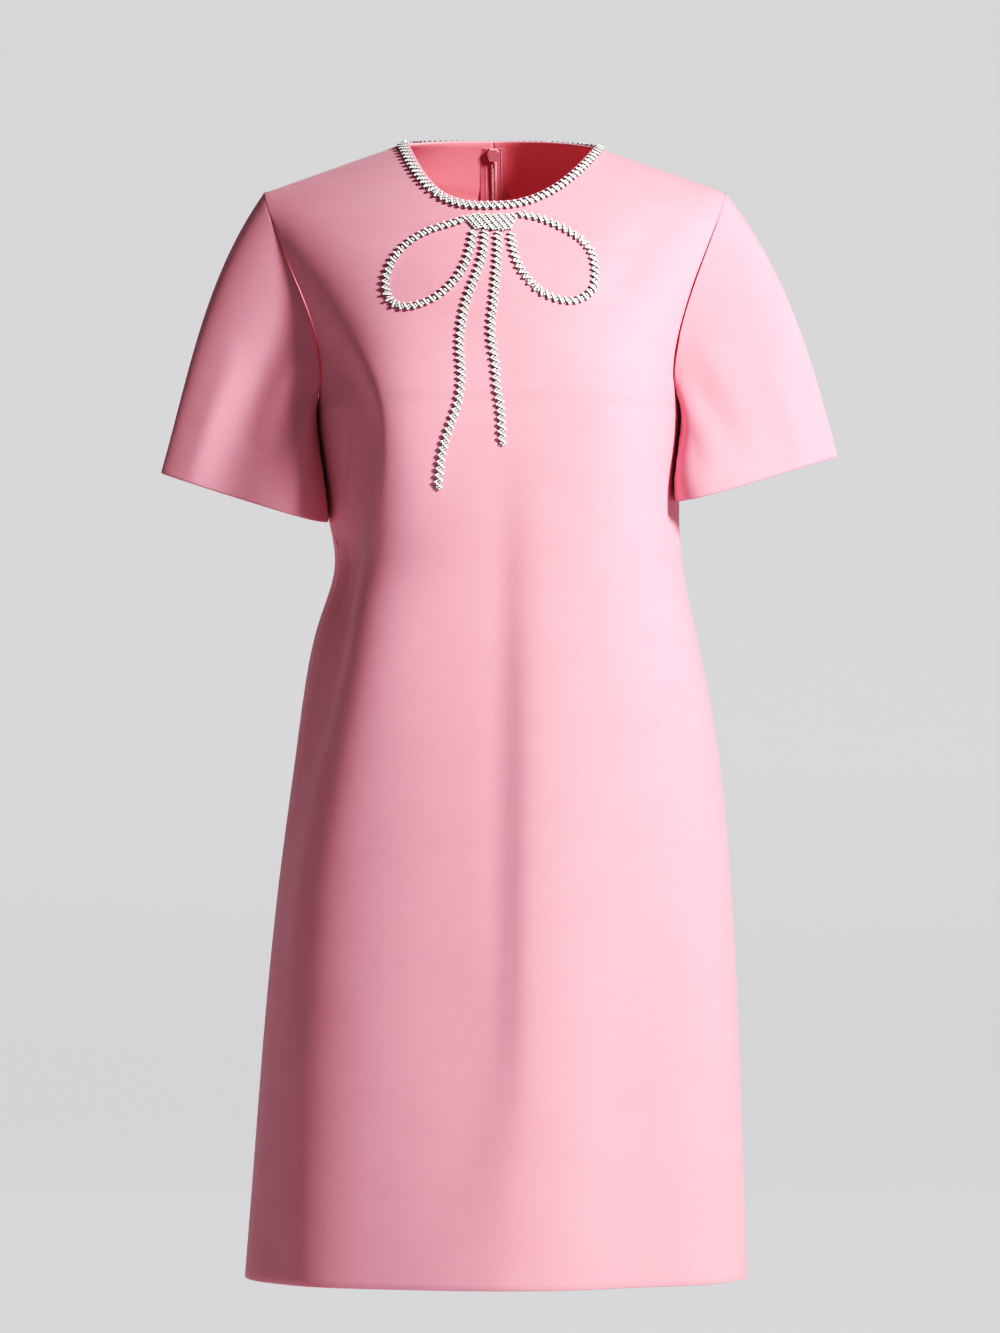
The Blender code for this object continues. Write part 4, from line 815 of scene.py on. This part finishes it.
def stoneRows(path, step, sizes):
    # two kinds of row in turn: one of large stones, one of fewer, smaller and deeper ones;
    # gives each stone's place along and across the band, its size and how deep it sits
    t = trimSet
    length = path["along"][-1]
    count = int(length / t["rowPitch"])
    row = (np.arange(count) + 0.5) * length / count
    lean = np.interp(row, path["along"], strokeSlant(path))
    found = []
    for kind, (number, size) in enumerate(zip(t["rowCounts"], sizes)):
        for place in (np.arange(number) - (number - 1) / 2) * step:
            along = row[kind::2] + place * lean[kind::2]
            same = np.broadcast_to((place, size, kind * t["sunk"]), (len(along), 3))
            found.append(np.column_stack([along, same]))
    found = np.concatenate(found)
    return found[(found[:, 0] > t["endMargin"]) & (found[:, 0] < length - t["endMargin"])]


def makeBand(node, path, step, sizes, width, materials, seed):
    # rows of stones over a flat strip of net
    t = trimSet
    along, aside, size, sunk = stoneRows(path, step, sizes).T
    base = t["netUnder"] + t["net"]
    places, normals, across = atPlace(path, along, aside, base - sunk)
    half = width * t["netShare"] / 2
    net = profileBand(path, ((-half, t["netUnder"]), (half, t["netUnder"]), (half, base), (-half, base)))
    piece = stonePiece(node + "_stones", places, normals, across, size, net, materials, seed)
    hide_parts(node)
    return len(along)


def neckPath():
    # round the neck a little way below the neckline, from the zip over the left back, the front and the right
    # back; the neckline is level 3, and the way down from it to level near gives metres for each level
    t = trimSet
    distance = t["edge"] + t["neckWidth"] / 2
    atZip, near = 0.004, 2.97
    points, normals = [], []
    for side, start, end, count in ((1, -atZip, -1, 90), (-1, -1, 1, 261), (1, 1, atZip, 90)):
        across = np.linspace(start, end, count)
        edge, below = (flatPoints(side, across, np.full_like(across, level)) for level in (3.0, near))
        level = 3 - distance * (3 - near) / np.linalg.norm(edge - below, axis=1)
        points.append(panelPoints(side, across, level))
        normals.append(slopeNormals(panelPoints, side, across, level, 0.002))
    points[0], normals[0] = points[0][:-1], normals[0][:-1]
    points[2], normals[2] = points[2][1:], normals[2][1:]
    normals = np.concatenate(normals)
    for repeat in range(8):
        normals[1:-1] = unit(normals[:-2] + 2 * normals[1:-1] + normals[2:])
    return pathFrame(np.concatenate(points), normals)


def insideOutline(x, z, outline):
    # counts the outline's sides that a line going right from each point crosses
    outline = np.array(outline)
    inside = np.zeros(x.shape, bool)
    for (ax, az), (bx, bz) in zip(outline, np.roll(outline, -1, axis=0)):
        crosses = (az > z) != (bz > z)
        inside ^= crosses & (x < ax + (z - az) * (bx - ax) / (bz - az + 1e-12))
    return inside


def makeKnot(materials):
    # a patch of slanting rows inside the knot's outline, over a plate of net
    t = trimSet
    turn = math.radians(t["strokeTurn"])
    outline = np.array(knotOutline)
    middle = outline.mean(axis=0)
    most = 14
    i, j = (grid.ravel() for grid in np.meshgrid(*[np.arange(-most, most + 1)] * 2))
    along, aside = (i + 0.5 * (j % 2)) * t["knotStep"], j * t["knotPitch"]
    x = middle[0] + along * math.cos(turn) - aside * math.sin(turn)
    z = middle[1] + along * math.sin(turn) + aside * math.cos(turn)
    margins = t["knotMargin"] * np.array([(1, 0), (-1, 0), (0, 1), (0, -1)])
    keep = np.all([insideOutline(x + right, z + up, outline) for right, up in margins], axis=0)
    points, normals = onFront(x[keep], z[keep])
    across = unit(np.cross(normals, np.array([math.cos(turn), 0, math.sin(turn)])))
    base = t["netUnder"] + t["net"]
    rim, up = onFront(*np.concatenate([middle + (outline - middle) * t["knotNet"], middle[None]]).T)
    count = len(outline)
    corner = np.arange(count)
    following = (corner + 1) % count
    hub, above = np.full(count, count), count + 1
    sides = np.column_stack([corner, following, above + following, above + corner])
    fans = np.concatenate([np.column_stack([following, corner, hub]),
                           np.column_stack([corner, following, hub]) + above])
    net = np.concatenate([rim + up * t["netUnder"], rim + up * base]), [sides, fans]
    small = (j % 2)[keep]
    sizes = np.where(small, *t["neckStones"][::-1])
    places = points + normals * (base - small * t["sunk"])[:, None]
    piece = stonePiece("bow_knot_stones", places, normals, across, sizes, net, materials, 31)
    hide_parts("bow_knot")
    return len(points)


def makeTrim(materials):
    # the last number of each call starts its stones' small turns
    t = trimSet
    total = makeBand("neck_trim", neckPath(), t["neckStep"], t["neckStones"], t["neckWidth"], materials, 3)
    for k, (name, stations) in enumerate(bowBands.items()):
        number = np.arange(len(stations))
        line = naturalSpline(number, stations, np.linspace(0, number[-1], 12 * len(stations)))
        path = pathFrame(*onFront(line[:, 0], line[:, 1]))
        total += makeBand("bow_" + name, path, t["bowStep"], t["bowStones"], t["bowWidth"], materials, 11 + k)
    total += makeKnot(materials)
    print("stones", total)


# ---------- the zip

zipSet = {
    "low": -0.520, "stop": -0.0063, "under": 0.0027, "tape": 0.0005, "near": 0.0003, "reach": 0.0106,
    "sewn": 0.0062, "ribHalf": 0.0008, "ribHigh": 0.00025, "foot": 0.002, "pitch": 0.0015,
    "toothWide": 0.0025, "toothLong": 0.0010, "toothHigh": 0.0017, "bite": 0.0001,
}
# a tooth's outline, as shares of its length along the zip and of its height
toothOutline = np.array(((-0.5, 0.0), (0.5, 0.0), (0.5, 0.55), (0.28, 1.0), (-0.28, 1.0), (-0.5, 0.55)))


def zipPath(grid, column):
    # the centre back edge of one back panel, from the zip's foot to the neckline
    points, normals = grid["points"][:, column], grid["normals"][:, column]
    rows = np.arange(1, len(points) - 1)[points[1:-1, 2] > zipSet["low"]]
    fine = np.linspace(0, len(rows) - 1, 4 * len(rows))
    path = pathFrame(naturalSpline(np.arange(len(rows)), points[rows], fine),
                     unit(naturalSpline(np.arange(len(rows)), normals[rows], fine)))
    path["across"] = unit(path["across"] * [1, 1, 0])
    return path


def makeZip(name, way, grid, column, materials):
    # woven tape inside the back, a raised rib where it is sewn, and teeth along its edge up to the slider
    z = zipSet
    path = zipPath(grid, column)
    face = -z["under"]
    low = face - z["tape"]
    rib = ((z["sewn"] + z["ribHalf"], low), (z["sewn"], low - z["ribHigh"]), (z["sewn"] - z["ribHalf"], low))
    section = np.array([(z["near"], face), (z["reach"], face), (z["reach"], low), *rib, (z["near"], low)])
    vertices, faces = profileBand(path, section * (way, 1))
    uv = np.stack(np.broadcast_arrays(section[:, 0], path["along"][:, None]), axis=-1).reshape(-1, 2)
    tape = meshPiece(f"zip_tape_{name}_cloth", vertices, faces, [materials["tape"]], uv=uv, smooth=False)
    top = np.interp(z["stop"], path["points"][:, 2], path["along"])
    along = np.arange(z["foot"], top, z["pitch"]) + (0.5 * z["pitch"] if way > 0 else 0)
    along = along[along < top]
    rings = []
    for aside, tall in ((z["near"] - z["bite"], 0.75), (z["toothWide"] * 0.45, 1.0), (z["toothWide"], 0.55)):
        places = along[:, None] + toothOutline[:, 0] * z["toothLong"]
        heights = low + z["bite"] - toothOutline[:, 1] * z["toothHigh"] * tall
        rings.append(atPlace(path, places, np.full(places.shape, way * aside), heights)[0])
    corners = len(toothOutline)
    shift = np.arange(len(along))[:, None, None] * corners * len(rings)
    sides = gridFaces(len(rings), corners, ring=True)
    ends = np.array([np.arange(corners)[::-1], np.arange(corners) + corners * (len(rings) - 1)])
    faces = [(part[None] + shift).reshape(-1, part.shape[1]) for part in (sides, ends)]
    vertices = np.stack(rings, axis=1).reshape(-1, 3)
    teeth = meshPiece(f"zip_teeth_{name}", vertices, faces, [materials["teeth"]], smooth=False)
    for piece in (tape, teeth):
        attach(piece, "dress")
    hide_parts(f"zip_tape_{name}")
    print("zip teeth", name, len(along))


# ---------- materials

def addNode(tree, kind, values=(), **settings):
    node = tree.nodes.new(kind)
    for name, value in settings.items():
        setattr(node, name, value)
    for name, value in dict(values).items():
        if isinstance(value, bpy.types.NodeSocket):
            tree.links.new(value, node.inputs[name])
        else:
            node.inputs[name].default_value = value
    return node


def mathNode(tree, operation, first, second):
    return addNode(tree, "ShaderNodeMath", {0: first, 1: second}, operation=operation).outputs[0]


def noiseNode(tree, place, scale, detail, **more):
    values = {"Vector": place, "Scale": scale, "Detail": detail, **more}
    return addNode(tree, "ShaderNodeTexNoise", values).outputs["Fac"]


def rangeNode(tree, value, **ends):
    # fromMin, fromMax, toMin and toMax of a straight change of range
    labels = {"fromMin": "From Min", "fromMax": "From Max", "toMin": "To Min", "toMax": "To Max"}
    settings = {"Value": value, **{labels[key]: end for key, end in ends.items()}}
    return addNode(tree, "ShaderNodeMapRange", settings).outputs[0]


def mixNode(tree, factor, light, deep):
    values = {"Factor": factor, "A": light, "B": deep}
    return addNode(tree, "ShaderNodeMix", values, data_type="RGBA").outputs["Result"]


def plainMaterial(name, colour, roughness, metallic=0.0, **more):
    material = bpy.data.materials.new(name)
    material.use_nodes = True
    shader = material.node_tree.nodes["Principled BSDF"]
    shader.inputs["Base Color"].default_value = (*colour, 1)
    shader.inputs["Roughness"].default_value = roughness
    shader.inputs["Metallic"].default_value = metallic
    for key, value in more.items():
        shader.inputs[key].default_value = value
    return material, shader


# the inside colours are the cloth's own pink painted redder, for light bounced between its inner faces;
# through and glow add a painted glow to the inside
clothSet = {
    "light": (0.86, 0.46, 0.525), "deep": (0.80, 0.38, 0.45), "inside": (0.90, 0.46, 0.50),
    "insideDeepPaintedBounce": (0.84, 0.38, 0.42), "roughness": 0.78, "sheen": 0.22, "specular": 0.22,
    "threadPitch": 0.00055, "grain": 0.00009, "through": (0.90, 0.24, 0.32), "glow": 0.05,
}
trimColours = {
    "stone": (0.97, 0.96, 0.96), "stoneShade": (0.80, 0.80, 0.79), "silver": (0.74, 0.73, 0.72),
    "silverShade": (0.50, 0.49, 0.48), "net": (0.66, 0.58, 0.59), "netShade": (0.42, 0.36, 0.37),
    "glow": 0.16,
}
zipColours = {
    "tape": (0.83, 0.42, 0.48), "tapeShade": (0.72, 0.33, 0.39), "teeth": (0.86, 0.50, 0.55),
    "teethShade": (0.76, 0.40, 0.46), "paint": (0.88, 0.52, 0.57), "paintShade": (0.80, 0.44, 0.50),
}


def newGroup(name, inputs, outputs):
    # a shared effect: named values in, named colours or values out
    kinds = {"colour": "NodeSocketColor", "value": "NodeSocketFloat", "vector": "NodeSocketVector"}
    tree = bpy.data.node_groups.new(name, "ShaderNodeTree")
    for way, sockets in (("INPUT", inputs), ("OUTPUT", outputs)):
        for label, kind in sockets.items():
            tree.interface.new_socket(label, in_out=way, socket_type=kinds[kind])
    return tree, tree.nodes.new("NodeGroupInput").outputs, tree.nodes.new("NodeGroupOutput").inputs


def crepeGroup():
    # plain weave of two crossed waves, uneven thread, slow mottling, and painted shade in the weave's
    # hollows; place is in metres of cloth
    tree, given, put = newGroup("crepe", {"Place": "vector", "Light": "colour", "Deep": "colour"},
                                {"Colour": "colour", "Roughness": "value", "Height": "value"})
    drift = addNode(tree, "ShaderNodeTexNoise", {"Vector": given["Place"], "Scale": 240, "Detail": 2})
    bent = addNode(tree, "ShaderNodeVectorMath", {0: drift.outputs["Color"], 3: 0.0009}, operation="SCALE")
    ends = {0: given["Place"], 1: bent.outputs["Vector"]}
    place = addNode(tree, "ShaderNodeVectorMath", ends, operation="ADD")
    # a wave node has 20 radians a unit, so this scale puts one wave on each thread
    thread = {"Vector": place.outputs["Vector"], "Scale": 0.314 / clothSet["threadPitch"]}
    waves = [addNode(tree, "ShaderNodeTexWave", thread, bands_direction=way) for way in ("X", "Y")]
    weave = mathNode(tree, "MULTIPLY", *[wave.outputs["Fac"] for wave in waves])
    height = mathNode(tree, "ADD", weave, noiseNode(tree, given["Place"], 2600, 3))
    slow = noiseNode(tree, given["Place"], 22, 4, Roughness=0.6)
    both = mathNode(tree, "ADD", slow, noiseNode(tree, given["Place"], 420, 3))
    share = rangeNode(tree, both, fromMin=0.72, fromMax=1.28, toMin=0.0, toMax=0.34)
    # painted shade: the weave's hollows are mixed towards the deep colour, as if shaded between the threads
    weaveShade = rangeNode(tree, weave, fromMin=0.0, fromMax=1.0, toMin=0.10, toMax=0.0)
    colour = mixNode(tree, mathNode(tree, "ADD", share, weaveShade), given["Light"], given["Deep"])
    rough = rangeNode(tree, both, fromMin=0.7, fromMax=1.3,
                      toMin=clothSet["roughness"] - 0.05, toMax=clothSet["roughness"] + 0.07)
    tree.links.new(colour, put["Colour"])
    tree.links.new(rough, put["Roughness"])
    tree.links.new(height, put["Height"])
    return tree


def speckleGroup():
    # cells with a tone each, for cut stones, cast metal and net; Size is the cells per metre
    inputs = {"Place": "vector", "Size": "value", "Light": "colour", "Deep": "colour"}
    tree, given, put = newGroup("speckle", inputs, {"Colour": "colour", "Mask": "value", "Height": "value"})
    cells = addNode(tree, "ShaderNodeTexVoronoi", {"Vector": given["Place"], "Scale": given["Size"]})
    tone = addNode(tree, "ShaderNodeSeparateColor", {"Color": cells.outputs["Color"]})
    mask = rangeNode(tree, tone.outputs["Red"], fromMin=0.35, fromMax=1.0)
    tree.links.new(mixNode(tree, mask, given["Light"], given["Deep"]), put["Colour"])
    tree.links.new(mask, put["Mask"])
    tree.links.new(noiseNode(tree, given["Place"], 3000, 2), put["Height"])
    return tree


def dressShader(tree, shader, look, roughness, bump, strength):
    # the group's colour and height into the shader, the height as a bump
    values = {"Height": look.outputs["Height"], "Distance": bump, "Strength": strength}
    relief = addNode(tree, "ShaderNodeBump", values)
    tree.links.new(look.outputs["Colour"], shader.inputs["Base Color"])
    tree.links.new(roughness, shader.inputs["Roughness"])
    tree.links.new(relief.outputs["Normal"], shader.inputs["Normal"])


def clothMaterial(name, group, light, deep, bump, **shine):
    # crepe laid by the panels' own unwrapping, which is in metres
    material, shader = plainMaterial(name, light, clothSet["roughness"], **shine)
    tree = material.node_tree
    place = addNode(tree, "ShaderNodeUVMap", uv_map="cloth")
    given = {"Place": place.outputs["UV"], "Light": (*light, 1), "Deep": (*deep, 1)}
    look = addNode(tree, "ShaderNodeGroup", given, node_tree=group)
    dressShader(tree, shader, look, look.outputs["Roughness"], bump, 0.6)
    return material


def speckleMaterial(name, group, light, deep, size, roughness, metallic, bump, **shine):
    # roughness is its lowest and highest value over the cells
    material, shader = plainMaterial(name, light, roughness[0], metallic, **shine)
    tree = material.node_tree
    place = addNode(tree, "ShaderNodeTexCoord")
    given = {"Place": place.outputs["Object"], "Size": size, "Light": (*light, 1), "Deep": (*deep, 1)}
    look = addNode(tree, "ShaderNodeGroup", given, node_tree=group)
    rough = rangeNode(tree, look.outputs["Mask"], toMin=roughness[0], toMax=roughness[1])
    dressShader(tree, shader, look, rough, bump, 0.5)
    return material


def makeMaterials():
    # a faint painted glow stands for the light that comes through the cloth, and for the light the stones
    # send back
    c, t, z = clothSet, trimColours, zipColours
    through = {"Emission Color": (*c["through"], 1), "Emission Strength": c["glow"]}
    paintedStoneGlow = {"Emission Color": (*t["stone"], 1), "Emission Strength": t["glow"]}
    crepe, speckle = crepeGroup(), speckleGroup()
    soft = {"Specular IOR Level": c["specular"], "Sheen Weight": c["sheen"], "Sheen Roughness": 0.45}
    return {
        "cloth": clothMaterial("pink_crepe", crepe, c["light"], c["deep"], c["grain"], **soft),
        "inside": clothMaterial("inside_crepe_painted_bounce", crepe, c["inside"], c["insideDeepPaintedBounce"], c["grain"] * 0.6,
                                **soft, **through),
        "stone": speckleMaterial("cut_stone", speckle, t["stone"], t["stoneShade"], 620, (0.08, 0.20), 0.12,
                                 0.00002, IOR=1.7, **paintedStoneGlow),
        "setting": speckleMaterial("silver_setting", speckle, t["silver"], t["silverShade"], 900,
                                   (0.25, 0.40), 0.75, 0.00003),
        "net": speckleMaterial("trim_net", speckle, t["net"], t["netShade"], 1500, (0.7, 0.85), 0.0, 0.0001),
        "tape": clothMaterial("zip_tape_weave", crepe, z["tape"], z["tapeShade"], 0.00015, **soft),
        "teeth": speckleMaterial("zip_teeth_nylon", speckle, z["teeth"], z["teethShade"], 700, (0.35, 0.5),
                                 0.0, 0.00003),
        "paint": speckleMaterial("painted_zip_metal", speckle, z["paint"], z["paintShade"], 500, (0.28, 0.42),
                                 0.1, 0.00003),
    }


def makeRoom():
    # floor and wall in one sweep, the wall far enough back to leave room for a view from behind:
    # a level line, a quarter circle up and an upright line, drawn out sideways
    r = roomSet
    turn = np.linspace(0, math.pi / 2, 9)
    bend = (r["wall"], r["floor"]) + r["bend"] * np.stack([np.sin(turn) - 1, 1 - np.cos(turn)], axis=1)
    line = np.vstack([[(r["front"], r["floor"])], bend, [(r["wall"], r["top"])]])
    x = np.linspace(-r["side"], r["side"], 13)
    grid = np.stack(np.broadcast_arrays(x, line[:, :1], line[:, 1:]), axis=-1)
    material, shader = plainMaterial("pale_floor", r["grey"], 0.9)
    shader.inputs["Emission Color"].default_value = (1, 0.995, 1.01, 1)
    shader.inputs["Emission Strength"].default_value = r["glow"]
    room = meshPiece("floor", grid.reshape(-1, 3), gridFaces(len(line), len(x)), [material])
    # the other three walls, seen from the side and from behind, add no light of their own to the dress
    corners = np.array([(-1, r["wall"]), (-1, r["front"]), (1, r["front"]), (1, r["wall"])]) * (r["side"], 1)
    grid = np.array([[(*corner, height) for corner in corners] for height in (r["floor"], r["top"])])
    walls = meshPiece("walls", grid.reshape(-1, 3), gridFaces(2, len(corners)), [material], smooth=False)
    walls.visible_diffuse = walls.visible_glossy = walls.visible_shadow = False


makeCameraAndLight()
makeRoom()
materials = makeMaterials()
front, backLeft, backRight = makeCloth([materials["cloth"], materials["inside"]])
print("cloth made")
makeTrim([materials["stone"], materials["setting"], materials["net"]])
makeZip("left", -1, backLeft, -1, materials)
makeZip("right", 1, backRight, 0, materials)
for name in ("zip_slider", "zip_pull"):
    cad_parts[name].data.materials.clear()
    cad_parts[name].data.materials.append(materials["paint"])
print("trim and zip made")
